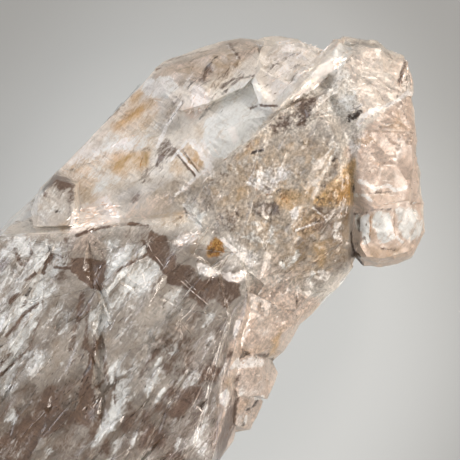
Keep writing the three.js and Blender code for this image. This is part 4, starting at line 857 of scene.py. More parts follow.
def cad_surface():
    """The CAD node's corners in millimetres with equal ones merged, and its triangles."""
    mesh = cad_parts[CRYSTAL].data
    mesh.calc_loop_triangles()
    points = np.empty(len(mesh.vertices) * 3, np.float32)
    mesh.vertices.foreach_get("co", points)
    faces = np.empty(len(mesh.loop_triangles) * 3, np.int32)
    mesh.loop_triangles.foreach_get("vertices", faces)
    points = points.reshape(-1, 3).astype(float) / MM
    grid = np.round(points * 1000).astype(np.int64)
    kept, first, which = np.unique(grid, axis=0, return_index=True, return_inverse=True)
    faces = which.reshape(-1)[faces].reshape(-1, 3)
    whole = (faces[:, 0] != faces[:, 1]) & (faces[:, 1] != faces[:, 2]) & (faces[:, 2] != faces[:, 0])
    return points[first], faces[whole]


def split_edges(points, faces, chosen):
    """Halves every edge that chosen(ends, length) picks, and cuts each triangle in two, three or four by
    how many of its edges were halved, so that neighbours always share the new corners."""
    ends = np.sort(faces[:, [[0, 1], [1, 2], [2, 0]]].reshape(-1, 2), axis=1)
    key = ends[:, 0].astype(np.int64) * len(points) + ends[:, 1]
    kept, first, which = np.unique(key, return_index=True, return_inverse=True)
    pair = ends[first]
    middle = (points[pair[:, 0]] + points[pair[:, 1]]) / 2
    length = np.linalg.norm(points[pair[:, 0]] - points[pair[:, 1]], axis=1)
    long = chosen(pair, length)
    number = np.full(len(kept), -1)
    number[long] = len(points) + np.arange(long.sum())
    mid = number[which.reshape(-1)].reshape(-1, 3)
    count = (mid >= 0).sum(axis=1)
    # Turn each triangle so that its one halved edge comes first, or its one whole edge comes last
    turn = np.where(count == 1, np.argmax(mid >= 0, axis=1), 0)
    turn = np.where(count == 2, (np.argmax(mid < 0, axis=1) + 1) % 3, turn)
    order = (turn[:, None] + np.arange(3)) % 3
    a, b, c = np.take_along_axis(faces, order, axis=1).T
    ab, bc, ca = np.take_along_axis(mid, order, axis=1).T
    none, one, two, three = (count == n for n in range(4))
    parts = [
        np.stack([a, b, c], 1)[none],
        np.stack([a, ab, c], 1)[one],
        np.stack([ab, b, c], 1)[one],
        np.stack([ab, b, bc], 1)[two],
        np.stack([a, ab, bc], 1)[two],
        np.stack([a, bc, c], 1)[two],
        np.stack([a, ab, ca], 1)[three],
        np.stack([ab, b, bc], 1)[three],
        np.stack([ca, bc, c], 1)[three],
        np.stack([ab, bc, ca], 1)[three],
    ]
    return np.vstack([points, middle[long]]), np.vstack(parts), bool(long.any())


def picture_middle():
    """The middle of the photograph in the CAD frame, in millimetres."""
    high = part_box(CRYSTAL)[1]
    return np.array([high.x / MM - PICTURE_INSET[0], high.y / MM - PICTURE_INSET[1], 0.0])


def new_mesh_object(name, points, faces, material, smooth=True):
    """Puts points in millimetres and triangles into a new mesh object."""
    mesh = bpy.data.meshes.new(name)
    mesh.vertices.add(len(points))
    mesh.vertices.foreach_set("co", (points * MM).astype(np.float32).ravel())
    mesh.loops.add(len(faces) * 3)
    mesh.loops.foreach_set("vertex_index", faces.astype(np.int32).ravel())
    mesh.polygons.add(len(faces))
    mesh.polygons.foreach_set("loop_start", np.arange(0, len(faces) * 3, 3, dtype=np.int32))
    mesh.update(calc_edges=True)
    if mesh.validate():
        raise RuntimeError(f"{name} has faces that Blender had to mend")
    mesh.polygons.foreach_set("use_smooth", np.full(len(faces), smooth))
    mesh.materials.append(material)
    piece = bpy.data.objects.new(name, mesh)
    bpy.context.scene.collection.objects.link(piece)
    return piece


def add_attribute(mesh, name, values):
    """Adds one number for each point of the mesh, for the material to read."""
    layer = mesh.attributes.new(name, "FLOAT", "POINT")
    layer.data.foreach_set("value", values.astype(np.float32))


def add_node(tree, kind, settings=None, inputs=None):
    """Adds a node, sets its own settings, and gives each input a value or a link from a socket."""
    node = tree.nodes.new(kind)
    for name, value in (settings or {}).items():
        setattr(node, name, value)
    for name, value in (inputs or {}).items():
        if isinstance(value, bpy.types.NodeSocket):
            tree.links.new(value, node.inputs[name])
        else:
            node.inputs[name].default_value = value
    return node


def relief(points, facing, s):
    """Height of the grown and broken surface above the CAD faces, in millimetres.

    Prism front: long lens-like hillocks (the gap between the two nearest cells), low terraces
    (rounded steps of a slow noise), and fine lines along the crystal and across it. Swelling: tilted
    chips (each cell leans its own way) on layered noise. Lobe: ripples drawn out along the crystal.
    Head: ridges along the photograph's upright. Sides: growth lines that run round the crystal."""
    flat = points[:, :2]
    up = smooth_step((facing[:, 2] + 0.05) / 0.35)
    on_prism = inside(flat, PRISM_FRONT, 0.8) * up
    on_shoulder = inside(flat, PALE_SHOULDER, 0.8) * up
    on_window = inside(flat, WINDOW, 0.8) * up
    on_lobe = inside(flat, TOP_LOBE, 0.8) * up
    on_swelling = inside(flat, SWELLING, 0.8) * up
    on_head = inside(flat, HEAD, 0.8)
    on_side_lobe = inside(flat, SIDE_LOBE, 0.8)
    rest = np.clip(1 - on_prism - on_shoulder - on_window - on_lobe - on_swelling - on_head
                   - on_side_lobe, 0, 1)

    bent = points + 0.5 * np.stack([soft_noise(points, 2.5, seed) for seed in (3, 4, 5)], axis=1)
    slant = turned(bent, 8)
    near, next_near, *_ = cell_noise(
        slant, (s.hillock_length / MM, s.hillock_width / MM, 2.0), 21)
    hillocks = s.hillock_height / MM * smooth_step((next_near - near) * 1.6)
    slow = layered_noise(slant, (6.0, 2.6, 4.0), 31) * 3
    terraces = 0.07 * (np.floor(slow) + smooth_step((slow - np.floor(slow)) * 4))
    along = 0.030 * layered_noise(slant, (5.0, 0.45, 0.6), 41, 2)
    patch = smooth_step(soft_noise(points, 5.0, 51) * 2)
    across = 0.025 * patch * soft_noise(slant, (0.42, 4.0, 3.0), 61)
    prism = hillocks + terraces + along + across

    crumple = s.crumple_height / MM * layered_noise(bent, s.crumple_size / MM, 71, 3)
    *_, offset, owner = cell_noise(bent, 1.5, 81)
    lean = np.stack([hashed(owner, seed) for seed in (82, 83, 84)], axis=1) - 0.5
    chips = 0.34 * np.sum(lean * offset, axis=1)
    grooves = 0.05 * soft_noise(turned(bent, 4), (4.0, 0.5, 1.0), 91)
    broken = crumple + chips + grooves

    ripples = 0.13 * layered_noise(turned(bent, -6), (3.4, 0.65, 1.2), 101, 3)
    waves = 0.16 * layered_noise(turned(bent, -8), (4.0, 1.6, 2.0), 111, 2)
    calm = 0.05 * layered_noise(bent, 2.2, 121, 2)
    shaft = turned(bent, 43)
    ridges = 0.08 * layered_noise(shaft, (3.0, 1.1, 1.6), 131, 3)
    tread = shaft[:, 0] / 0.8 + 0.8 * layered_noise(shaft, (3.0, 2.0, 2.0), 133, 2)
    ridges += 0.14 * (smooth_step((tread - np.floor(tread)) * 1.4) - 0.5)
    knobs = 0.16 * layered_noise(turned(bent, 15), (1.8, 1.0, 1.2), 141, 3)
    lines = 0.06 * layered_noise(bent, (0.45, 6.0, 6.0), 151, 2)
    lines += 0.10 * soft_noise(bent, (2.2, 9.0, 9.0), 161)

    height = (
        prism * on_prism + waves * on_shoulder + calm * on_window + ripples * on_lobe
        + broken * on_swelling + (ridges + 0.5 * chips) * on_head + knobs * on_side_lobe
        + (lines + 0.3 * crumple) * rest
    )
    return height


def places(row):
    """Points along the crystal, to a tenth of a millimetre, from a flat row of the photograph's pixels."""
    right, down = np.reshape(row, (-1, 2)).T - PICTURE_WIDTH / 2
    turn = math.radians(PICTURE_ROLL)
    along = right * math.cos(turn) - down * math.sin(turn)
    across = -right * math.sin(turn) - down * math.cos(turn)
    return np.round(PICTURE_SCALE * np.column_stack([along, across]), 1)


def painted(points):
    """How much of each tint the tables lay on each point: the edges are pushed about by noise, and each
    patch and streak covers its own share of what its tint had left bare."""
    flat = points[:, :2]
    push = np.stack([layered_noise(points, 1.6, seed, 3) for seed in (201, 202)], axis=1)
    made = {name: np.zeros(len(points)) for name in TINTS}
    ragged = flat + 0.22 * push
    for name, strength, soft, outline in PATCHES:
        outline = places(outline)
        near = np.all((ragged > outline.min(axis=0) - soft) & (ragged < outline.max(axis=0) + soft), axis=1)
        amount = inside(ragged[near], outline, soft) * strength
        made[name][near] += amount * (1 - made[name][near])
    fine = flat + 0.10 * push
    for name, strength, half, soft, path in STREAKS:
        path = places(path)
        reach = half + soft
        near = np.all((fine > path.min(axis=0) - reach) & (fine < path.max(axis=0) + reach), axis=1)
        amount = smooth_step(1 - (line_distance(fine[near], path) - half) / soft) * strength
        made[name][near] += amount * (1 - made[name][near])
    return made


def in_picture(points, facing, rim):
    """1 where a point faces up inside the photograph's square widened by rim millimetres, and 0 elsewhere."""
    across = np.abs(turned(points, -PICTURE_ROLL)[:, :2]).max(axis=1)
    edge = PICTURE_WIDTH * PICTURE_SCALE / 2 + rim
    return smooth_step((facing[:, 2] + 0.15) / 0.3) * smooth_step((edge - across) / 2)


def masks(points, facing):
    """How much of each tint and finish lies on each point: the tables where the photograph reaches, and
    slow noise beyond it, on the sides and on the back."""
    flat = points[:, :2]
    shown = in_picture(points, facing, 2.5)
    made = painted(points)
    drawn = turned(points, 8)
    cloud = layered_noise(drawn, (7.0, 3.0, 4.0), 211, 4)
    blot = layered_noise(drawn, (2.2, 0.9, 1.4), 221, 3)
    veil = layered_noise(drawn, (3.2, 1.4, 2.0), 231, 3)
    loose = 1 - shown
    for name in made:
        made[name] = made[name] * shown
    beyond = loose * smooth_step((facing[:, 2] + 0.15) / 0.3)
    hidden = loose - beyond
    made["deep"] += beyond * (0.55 + 0.3 * cloud) + hidden * 0.25
    made["smoke"] += beyond * (0.15 + 0.45 * smooth_step(0.5 + cloud)) + hidden * 0.3 * smooth_step(cloud)
    made["clear"] += beyond * 0.6 * smooth_step(0.4 - cloud) + hidden * 0.6
    made["frost"] += loose * 0.4 * smooth_step((veil - 0.3) * 2.5)
    made["gold"] += loose * 0.5 * smooth_step((blot - 0.35) * 2)
    made["deep"] = np.clip(made["deep"] * (1 + 0.3 * cloud), 0, 1)
    made["smoke"] = np.clip(made["smoke"] + 0.10 * blot + 0.10 * cloud, 0, 1)
    made["clear"] = np.clip(made["clear"] * (0.85 + 0.4 * veil), 0, 1)
    up = smooth_step((facing[:, 2] + 0.2) / 0.4)
    made["grown"] = inside(flat, PRISM_FRONT, 0.8) * up
    broken = inside(flat, SWELLING, 1.2) + 0.4 * inside(flat, HEAD, 1.2) + 0.5 * inside(flat, SIDE_LOBE, 1)
    made["broken"] = np.clip(broken, 0, 1) * up
    return made


def grown_quartz(s):
    """Rock quartz as it grew and broke: glass-clear inside, with a thin etched skin.

    Most light goes straight in, which gives the depth and the bright and dark flecks of the far side;
    the small share that doesn't gives the skin its body. Tints are laid on by the painted masks."""
    material = bpy.data.materials.new("quartz_grown_and_fractured")
    material.use_nodes = True
    tree = material.node_tree
    tree.nodes.clear()
    place = add_node(tree, "ShaderNodeTexCoord").outputs["Object"]
    level = add_node(tree, "ShaderNodeMapping", None, {
        "Vector": place,
        "Rotation": (0.0, 0.0, math.radians(-8)),
        "Scale": (1 / MM, 1 / MM, 1 / MM),
    }).outputs["Vector"]
    # Outlines of cells wander by about 0.4 mm, so none of them is a straight-sided tile
    wander = add_node(tree, "ShaderNodeTexNoise", None, {
        "Vector": level, "Scale": 0.9, "Detail": 3.0,
    }).outputs["Color"]
    bent = add_node(tree, "ShaderNodeVectorMath", {"operation": "MULTIPLY_ADD"}, {
        0: wander, 1: (0.9, 0.9, 0.9), 2: level,
    }).outputs["Vector"]
    mask = {
        name: add_node(tree, "ShaderNodeAttribute", {"attribute_name": name}).outputs["Fac"]
        for name in (*TINTS, "broken", "grown")
    }
    # Fibres about 1 mm and hairs 0.25 mm wide along the crystal, flecks of 0.4 mm, and lines across it
    drawn = add_node(tree, "ShaderNodeMapping", None, {
        "Vector": bent, "Scale": (0.26, 0.9, 0.8),
    }).outputs["Vector"]
    fibre = add_node(tree, "ShaderNodeTexNoise", None, {
        "Vector": drawn, "Scale": 1.0, "Detail": 5.0, "Roughness": 0.7, "Distortion": 0.4,
    }).outputs["Fac"]
    fleck = add_node(tree, "ShaderNodeTexNoise", None, {
        "Vector": level, "Scale": 2.6, "Detail": 3.0, "Roughness": 0.75,
    }).outputs["Fac"]
    hairs = add_node(tree, "ShaderNodeMapping", None, {
        "Vector": bent, "Rotation": (0.0, 0.0, math.radians(12)), "Scale": (1.2, 4.2, 3.4),
    }).outputs["Vector"]
    hair = add_node(tree, "ShaderNodeTexNoise", None, {
        "Vector": hairs, "Scale": 1.0, "Detail": 3.0, "Roughness": 0.7, "Distortion": 0.6,
    }).outputs["Fac"]
    ruled = add_node(tree, "ShaderNodeMapping", None, {
        "Vector": bent, "Scale": (3.4, 0.4, 0.4),
    }).outputs["Vector"]
    hatch = add_node(tree, "ShaderNodeTexNoise", None, {
        "Vector": ruled, "Scale": 1.0, "Detail": 3.0, "Roughness": 0.6,
    }).outputs["Fac"]
    # Clouds of about 5 by 2 mm drawn out along the crystal, with fine ragged edges
    cloud_place = add_node(tree, "ShaderNodeMapping", None, {
        "Vector": bent, "Scale": (0.2, 0.5, 0.4),
    }).outputs["Vector"]
    cloud = add_node(tree, "ShaderNodeTexNoise", None, {
        "Vector": cloud_place, "Scale": 1.0, "Detail": 6.0, "Roughness": 0.62, "Distortion": 0.8,
    }).outputs["Fac"]
    # Growth lenses of about 2.6 by 1.1 mm on the prism, and broken chips of about 0.8 mm
    lens_place = add_node(tree, "ShaderNodeMapping", None, {
        "Vector": bent, "Scale": (0.38, 0.9, 0.6),
    }).outputs["Vector"]
    lens = add_node(tree, "ShaderNodeTexVoronoi", {"feature": "F1"}, {
        "Vector": lens_place, "Scale": 1.0,
    }).outputs["Color"]
    lens = add_node(tree, "ShaderNodeSeparateColor", None, {0: lens}).outputs[0]
    chip = add_node(tree, "ShaderNodeTexVoronoi", {"feature": "F1"}, {
        "Vector": bent, "Scale": 1.25,
    })
    chips = add_node(tree, "ShaderNodeSeparateColor", None, {0: chip.outputs["Color"]}).outputs[0]
    # A pattern from 0 to 1 that decides where a tint shows first: fibres, or flecked chips where broken
    grain = add_node(tree, "ShaderNodeMix", {"data_type": "FLOAT"}, {0: 0.42, 2: fibre, 3: hair}).outputs[0]
    grain = add_node(tree, "ShaderNodeMapRange", None, {
        "Value": grain, "From Min": 0.36, "From Max": 0.64,
    }).outputs["Result"]
    speckle = add_node(tree, "ShaderNodeMapRange", None, {
        "Value": fleck, "From Min": 0.3, "From Max": 0.7,
    }).outputs["Result"]
    speckle = add_node(tree, "ShaderNodeMix", {"data_type": "FLOAT"}, {
        0: 0.45, 2: speckle, 3: chips,
    }).outputs[0]
    grain = add_node(tree, "ShaderNodeMix", {"data_type": "FLOAT"}, {
        0: mask["broken"], 2: grain, 3: speckle,
    }).outputs[0]
    turned_grain = add_node(tree, "ShaderNodeMath", {"operation": "SUBTRACT"}, {0: 1.0, 1: grain}).outputs[0]

    # Each tint covers the last: solid where its mask is strong, and caught in the pattern where weak
    body = add_node(tree, "ShaderNodeMix", {"data_type": "RGBA"}, {
        0: mask["deep"], 6: (*s.quartz_colour, 1), 7: (*s.deep_colour, 1),
    }).outputs[2]
    for name, pattern, first, full in (
        ("blush", turned_grain, 0.8, 1.9), ("clear", turned_grain, 0.9, 1.7), ("gold", grain, 0.5, 2.4),
        ("smoke", grain, 0.9, 1.7), ("iron", grain, 0.9, 1.8), ("frost", turned_grain, 0.9, 1.6),
        ("ink", grain, 0.95, 1.55),
    ):
        both = add_node(tree, "ShaderNodeMath", {"operation": "MULTIPLY_ADD"}, {
            0: mask[name], 1: 1.5, 2: pattern,
        }).outputs[0]
        cover = add_node(tree, "ShaderNodeMapRange", {"interpolation_type": "SMOOTHSTEP"}, {
            "Value": both, "From Min": first, "From Max": full,
        }).outputs["Result"]
        body = add_node(tree, "ShaderNodeMix", {"data_type": "RGBA"}, {
            0: cover, 6: body, 7: (*getattr(s, name + "_colour"), 1),
        }).outputs[2]
    # Then every pattern shades a little, strongly in some places and hardly at all in others
    slow = add_node(tree, "ShaderNodeTexNoise", None, {
        "Vector": bent, "Scale": 0.3, "Detail": 2.0,
    }).outputs["Fac"]
    busy = add_node(tree, "ShaderNodeMapRange", {"interpolation_type": "SMOOTHSTEP"}, {
        "Value": slow, "From Min": 0.38, "From Max": 0.62, "To Min": 0.2, "To Max": 1.0,
    }).outputs["Result"]
    rugged = add_node(tree, "ShaderNodeMath", {"operation": "MAXIMUM"}, {
        0: mask["grown"], 1: mask["broken"],
    }).outputs[0]
    rugged = add_node(tree, "ShaderNodeMapRange", None, {
        "Value": rugged, "To Min": 0.55, "To Max": 1.0,
    }).outputs["Result"]
    calm = add_node(tree, "ShaderNodeMapRange", None, {
        "Value": mask["clear"], "To Min": rugged, "To Max": 0.35,
    }).outputs["Result"]
    shade = 1.0
    for share, value, least, most, dark, light in (
        (mask["grown"], lens, 0.0, 1.0, 0.9, 1.1),
        (mask["broken"], fleck, 0.36, 0.66, 1.26, 0.52),
        (busy, fibre, 0.34, 0.68, 1.16, 0.8),
        (calm, hair, 0.36, 0.64, 1.27, 0.7),
        (busy, hatch, 0.34, 0.66, 1.24, 0.72),
        (calm, fleck, 0.36, 0.64, 1.1, 0.88),
        (mask["grown"], cloud, 0.36, 0.66, 1.16, 0.8),
    ):
        tone = add_node(tree, "ShaderNodeMapRange", None, {
            "Value": value, "From Min": least, "From Max": most, "To Min": dark, "To Max": light,
        }).outputs["Result"]
        tone = add_node(tree, "ShaderNodeMix", {"data_type": "FLOAT"}, {0: share, 2: 1.0, 3: tone}).outputs[0]
        shade = add_node(tree, "ShaderNodeMath", {"operation": "MULTIPLY"}, {0: shade, 1: tone}).outputs[0]
    body = add_node(tree, "ShaderNodeVectorMath", {"operation": "SCALE"}, {
        0: body, "Scale": shade,
    }).outputs["Vector"]

    dull = add_node(tree, "ShaderNodeMapRange", None, {
        "Value": mask["grown"], "To Min": 0.34, "To Max": 0.2,
    }).outputs["Result"]
    rough = add_node(tree, "ShaderNodeMapRange", None, {
        "Value": mask["frost"], "To Min": dull, "To Max": 0.45,
    }).outputs["Result"]
    etched = None
    # Etching 0.05 mm deep, fibre ridges 0.08 mm, chips 0.1 mm
    for height, strength, deep in ((fleck, 0.4, 0.00005), (fibre, 0.3, 0.00008), (hair, 0.5, 0.00006),
                                   (hatch, 0.3, 0.00006), (chip.outputs["Distance"], 0.25, 0.0001)):
        inputs = {"Strength": strength, "Distance": deep, "Height": height}
        if etched:
            inputs["Normal"] = etched
        etched = add_node(tree, "ShaderNodeBump", None, inputs).outputs["Normal"]
    surface = add_node(tree, "ShaderNodeBsdfPrincipled", None, {
        "Base Color": body,
        "Roughness": rough,
        "Normal": etched,
        "IOR": 1.544,
        "Transmission Weight": s.clarity,
    }).outputs["BSDF"]
    depth = add_node(tree, "ShaderNodeVolumeAbsorption", None, {
        "Color": (*s.absorption_colour, 1),
        "Density": s.absorption_density,
    }).outputs["Volume"]
    add_node(tree, "ShaderNodeOutputMaterial", None, {"Surface": surface, "Volume": depth})
    return material


def flake_stone(name, first, second, roughness):
    """A thin film of stone or air-gap white inside the quartz, mottled between two tints every 0.5 mm."""
    material = bpy.data.materials.new(name)
    material.use_nodes = True
    tree = material.node_tree
    tree.nodes.clear()
    place = add_node(tree, "ShaderNodeTexCoord").outputs["Object"]
    grain = add_node(tree, "ShaderNodeTexNoise", None, {
        "Vector": place, "Scale": 2000.0, "Detail": 2.0,
    }).outputs["Fac"]
    share = add_node(tree, "ShaderNodeMapRange", {"interpolation_type": "SMOOTHSTEP"}, {
        "Value": grain, "From Min": 0.38, "From Max": 0.62,
    }).outputs["Result"]
    tone = add_node(tree, "ShaderNodeMix", {"data_type": "RGBA"}, {
        0: share, 6: (*first, 1), 7: (*second, 1),
    }).outputs[2]
    uneven = add_node(tree, "ShaderNodeBump", None, {
        "Strength": 0.4, "Distance": 0.00003, "Height": grain,
    }).outputs["Normal"]
    surface = add_node(tree, "ShaderNodeBsdfPrincipled", None, {
        "Base Color": tone,
        "Roughness": roughness,
        "IOR": 1.5,
        "Normal": uneven,
    }).outputs["BSDF"]
    add_node(tree, "ShaderNodeOutputMaterial", None, {"Surface": surface})
    return material


def height_grid():
    """Mean height of the skin's upper side in each 0.4 mm square, in millimetres, with the squares that
    hold a corner marked, and the others filled from their neighbours."""
    mesh = bpy.data.objects["quartz_skin"].data
    points = np.empty(len(mesh.vertices) * 3, np.float32)
    mesh.vertices.foreach_get("co", points)
    facing = np.empty(len(mesh.vertices) * 3, np.float32)
    mesh.vertex_normals.foreach_get("vector", facing)
    points = points.reshape(-1, 3).astype(float) / MM - picture_middle()
    up = facing.reshape(-1, 3)[:, 2] > 0.15
    step = 0.4
    low = points[:, :2].min(axis=0) - 2
    size = np.ceil((points[:, :2].max(axis=0) + 2 - low) / step).astype(int) + 1
    index = ((points[up, :2] - low) / step).astype(int)
    number = index[:, 0] * size[1] + index[:, 1]
    count = np.bincount(number, minlength=size.prod()).reshape(size)
    grid = np.bincount(number, points[up, 2], minlength=size.prod()).reshape(size) / np.maximum(count, 1)
    known = count > 0
    filled = known.copy()
    for turn in range(6):
        total = np.zeros(size)
        share = np.zeros(size)
        tall = np.pad(np.where(filled, grid, 0), 1)
        wide = np.pad(filled.astype(float), 1)
        for dx, dy in np.ndindex(3, 3):
            total += tall[dx:dx + size[0], dy:dy + size[1]]
            share += wide[dx:dx + size[0], dy:dy + size[1]]
        grid = np.where(filled, grid, total / np.maximum(share, 1))
        filled = filled | (share > 0)
    return low, step, grid, known


def height_at(surface, flat):
    """Height of the skin at flat points, blended between the middles of the four nearest squares."""
    low, step, grid, known = surface
    place = (flat - low) / step - 0.5
    base = np.clip(np.floor(place).astype(int), 0, np.array(grid.shape) - 2)
    x, y = np.clip(place - base, 0, 1).T
    i, j = base.T
    return (
        grid[i, j] * (1 - x) * (1 - y) + grid[i + 1, j] * x * (1 - y)
        + grid[i, j + 1] * (1 - x) * y + grid[i + 1, j + 1] * x * y
    )


def on_skin(surface, flat):
    """Which flat points have the skin's upper side over them."""
    low, step, grid, known = surface
    spot = np.clip(((flat - low) / step).astype(int), 0, np.array(grid.shape) - 1)
    return known[spot[:, 0], spot[:, 1]]


def scattered(kind, random):
    """Middles, headings, lengths, widths and depths of the flakes of one kind: even random points in
    each field's outline, with headings spread about its own."""
    found = []
    for name, count, heading, spread, length, width, depth, outline in FIELDS:
        if name != kind:
            continue
        corners = places(outline)
        flat = random.uniform(corners.min(axis=0), corners.max(axis=0), (count * 6, 2))
        flat = flat[inside(flat, corners, 0.4) > random.uniform(0.2, 1, len(flat))][:count]
        size = len(flat)
        found.append(np.column_stack([
            flat,
            heading + random.uniform(-spread, spread, size),
            length[0] + (length[1] - length[0]) * random.uniform(0, 1, size) ** 2,
            random.uniform(*width, size),
            random.uniform(*depth, size),
        ]))
    return np.vstack(found)


def drawn_lines(kind, random):
    """Fine lines of one kind as rows of flakes end over end, each a little off the path. The dark ones
    also run along every streak of smoke."""
    found = []
    lines = [row[1:] for row in HAIRLINES if row[0] == kind]
    if kind == "dark":
        lines += [(0.2 * row[1], 0.0, row[-1]) for row in STREAKS if row[0] == "smoke"]
    for width, depth, path in lines:
        path = places(path)
        for start, end in zip(path[:-1], path[1:]):
            run = end - start
            reach = math.hypot(*run)
            pieces = max(1, round(reach / 0.55))
            share = (np.arange(pieces) + 0.5) / pieces
            heading = math.degrees(math.atan2(run[1], run[0]))
            found.append(np.column_stack([
                start + share[:, None] * run + random.normal(0, 0.02, (pieces, 2)),
                heading + random.uniform(-7, 7, pieces),
                np.full(pieces, reach / pieces * 1.7),
                width * random.uniform(0.3, 0.65, pieces),
                np.full(pieces, depth - 0.04),
            ]))
    return np.vstack(found)


def lay_flakes(name, kind, material, seed):
    """Builds one piece from flattened octahedra that lie along the skin: each has four corners in its
    plane, at half its length and half its width, and a peak at half its thickness on either side."""
    random = np.random.default_rng(seed)
    surface = height_grid()
    rows = np.vstack([scattered(kind, random), drawn_lines(kind, random)])
    rows = rows[on_skin(surface, rows[:, :2])]
    flat = rows[:, :2]
    heading = np.radians(rows[:, 2])
    length, width, depth = rows[:, 3:].T
    axes = []
    for angle in (heading, heading + math.pi / 2):
        way = np.column_stack([np.cos(angle), np.sin(angle)])
        rise = (height_at(surface, flat + way * 0.4) - height_at(surface, flat - way * 0.4)) / 0.8
        axis = np.column_stack([way, np.clip(rise, -2.5, 2.5)])
        axes.append(axis / np.linalg.norm(axis, axis=1, keepdims=True))
    along, across = axes
    roll = random.uniform(-0.35, 0.35, len(rows))[:, None]
    out = np.cross(along, across)
    out = out / np.linalg.norm(out, axis=1, keepdims=True)
    across = np.cross(out, along) * np.cos(roll) + out * np.sin(roll)
    out = np.cross(along, across)
    thick = np.minimum(0.06, width * 0.5)
    centre = np.column_stack([flat, height_at(surface, flat) - depth - 0.01])
    reach = [along * length[:, None] / 2, across * width[:, None] / 2, out * thick[:, None] / 2]
    points = np.stack([
        centre + reach[0], centre + reach[1], centre - reach[0], centre - reach[1],
        centre + reach[2], centre - reach[2],
    ], axis=1)
    low = np.array(CAD_BOX[0]) / MM - picture_middle()
    high = np.array(CAD_BOX[1]) / MM - picture_middle()
    fits = np.all((points > low + 0.01) & (points < high - 0.01), axis=(1, 2))
    points = points[fits]
    cut = np.array([[0, 1, 4], [1, 2, 4], [2, 3, 4], [3, 0, 4], [1, 0, 5], [2, 1, 5], [3, 2, 5], [0, 3, 5]])
    faces = (cut[None] + np.arange(len(points))[:, None, None] * 6).reshape(-1, 3)
    piece = new_mesh_object(name, points.reshape(-1, 3) + picture_middle(), faces, material, smooth=False)
    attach(piece, BODY)
    return piece


class QuartzSettings(bpy.types.PropertyGroup):
    """Sizes and colours of the crystal's skin and of what lies inside it."""

    front_edge: FloatProperty(
        name="Front triangle", description="Longest triangle edge on the grown faces of the front",
        default=0.00064, min=0.0003, unit="LENGTH", precision=6)
    broken_edge: FloatProperty(
        name="Broken triangle", description="Longest triangle edge on the broken parts of the front",
        default=0.00052, min=0.0003, unit="LENGTH", precision=6)
    back_edge: FloatProperty(
        name="Back triangle", description="Longest triangle edge on the sides and back",
        default=0.0016, min=0.0004, unit="LENGTH", precision=6)
    stroke_edge: FloatProperty(
        name="Stroke triangle", description="Shortest edge that is halved where a tint begins or ends",
        default=0.0003, min=0.0002, unit="LENGTH", precision=6)
    stroke_change: FloatProperty(
        name="Stroke change", description="Change of tint along an edge that halves it",
        default=0.35, min=0.05, max=1.0)
    hillock_length: FloatProperty(
        name="Hillock length", description="Length of a growth hillock on the prism front",
        default=0.0026, unit="LENGTH", precision=5)
    hillock_width: FloatProperty(
        name="Hillock width", description="Width of a growth hillock on the prism front",
        default=0.0008, unit="LENGTH", precision=5)
    hillock_height: FloatProperty(
        name="Hillock height", description="Height of a growth hillock on the prism front",
        default=0.00004, unit="LENGTH", precision=6)
    crumple_size: FloatProperty(
        name="Crumple size", description="Width of the largest lumps of the broken swelling",
        default=0.0022, unit="LENGTH", precision=5)
    crumple_height: FloatProperty(
        name="Crumple height", description="Height of the largest lumps of the broken swelling",
        default=0.00015, unit="LENGTH", precision=6)
    clarity: FloatProperty(
        name="Clarity", description="Share of the light that enters the quartz",
        default=0.7, min=0.5, max=1.0, subtype="FACTOR")
    absorption_density: FloatProperty(
        name="Smokiness", description="Absorption density of the quartz, per metre",
        default=12.0, min=0.0)
    absorption_colour: FloatVectorProperty(
        name="Smoke in depth", description="Colour that thick quartz takes on",
        subtype="COLOR", size=3, min=0, max=1, default=linear("#cfc0b6"))
    quartz_colour: FloatVectorProperty(
        name="Quartz", description="Tint of the plain quartz",
        subtype="COLOR", size=3, min=0, max=1, default=linear("#ece5da"))
    deep_colour: FloatVectorProperty(
        name="Deep quartz", description="Darker tint between the fibres",
        subtype="COLOR", size=3, min=0, max=1, default=linear("#6f6256"))
    # Also whitens the painted highlights on the lit riser and the bright sliver
    clear_colour: FloatVectorProperty(
        name="Window", description="Tint of the clearest parts",
        subtype="COLOR", size=3, min=0, max=1, default=linear("#eff2f0"))
    smoke_colour: FloatVectorProperty(
        name="Smoke", description="Grey-brown of the smoky parts",
        subtype="COLOR", size=3, min=0, max=1, default=linear("#5a4232"))
    blush_colour: FloatVectorProperty(
        name="Blush", description="Pink-beige of the head and lobes",
        subtype="COLOR", size=3, min=0, max=1, default=linear("#d6bfae"))
    gold_colour: FloatVectorProperty(
        name="Gold", description="Honey tint of thin iron films",
        subtype="COLOR", size=3, min=0, max=1, default=linear("#c8994f"))
    iron_colour: FloatVectorProperty(
        name="Iron", description="Ochre of the iron stain",
        subtype="COLOR", size=3, min=0, max=1, default=linear("#a8762c"))
    rust_colour: FloatVectorProperty(
        name="Rust", description="Darkest part of the iron stain",
        subtype="COLOR", size=3, min=0, max=1, default=linear("#5a3414"))
    # Also the white of the painted highlights on lit faces and ridges
    frost_colour: FloatVectorProperty(
        name="Frost", description="White of healed and bruised quartz",
        subtype="COLOR", size=3, min=0, max=1, default=linear("#fdf9f5"))
    # Also the painted shade in the crack between the head and the swelling
    ink_colour: FloatVectorProperty(
        name="Slits", description="Near-black of open slits and dark mineral",
        subtype="COLOR", size=3, min=0, max=1, default=linear("#2a1d15"))
    # The floor glows by itself: painted light in place of a lamp under it
    floor_glow: FloatProperty(
        name="Floor glow", description="Share of the floor's brightness that comes from light under it",
        default=0.78, min=0.0, max=1.0, subtype="FACTOR")
    # Painted pool of light: the pale floor tone in the middle, and painted shade towards the corners
    floor_colour: FloatVectorProperty(
        name="Floor", description="Pale floor at the lower right of the photograph",
        subtype="COLOR", size=3, min=0, max=1, default=linear("#cecfcd"))
    floor_shade: FloatVectorProperty(
        name="Floor shade", description="Floor at the upper left of the photograph",
        subtype="COLOR", size=3, min=0, max=1, default=linear("#9d9c99"))


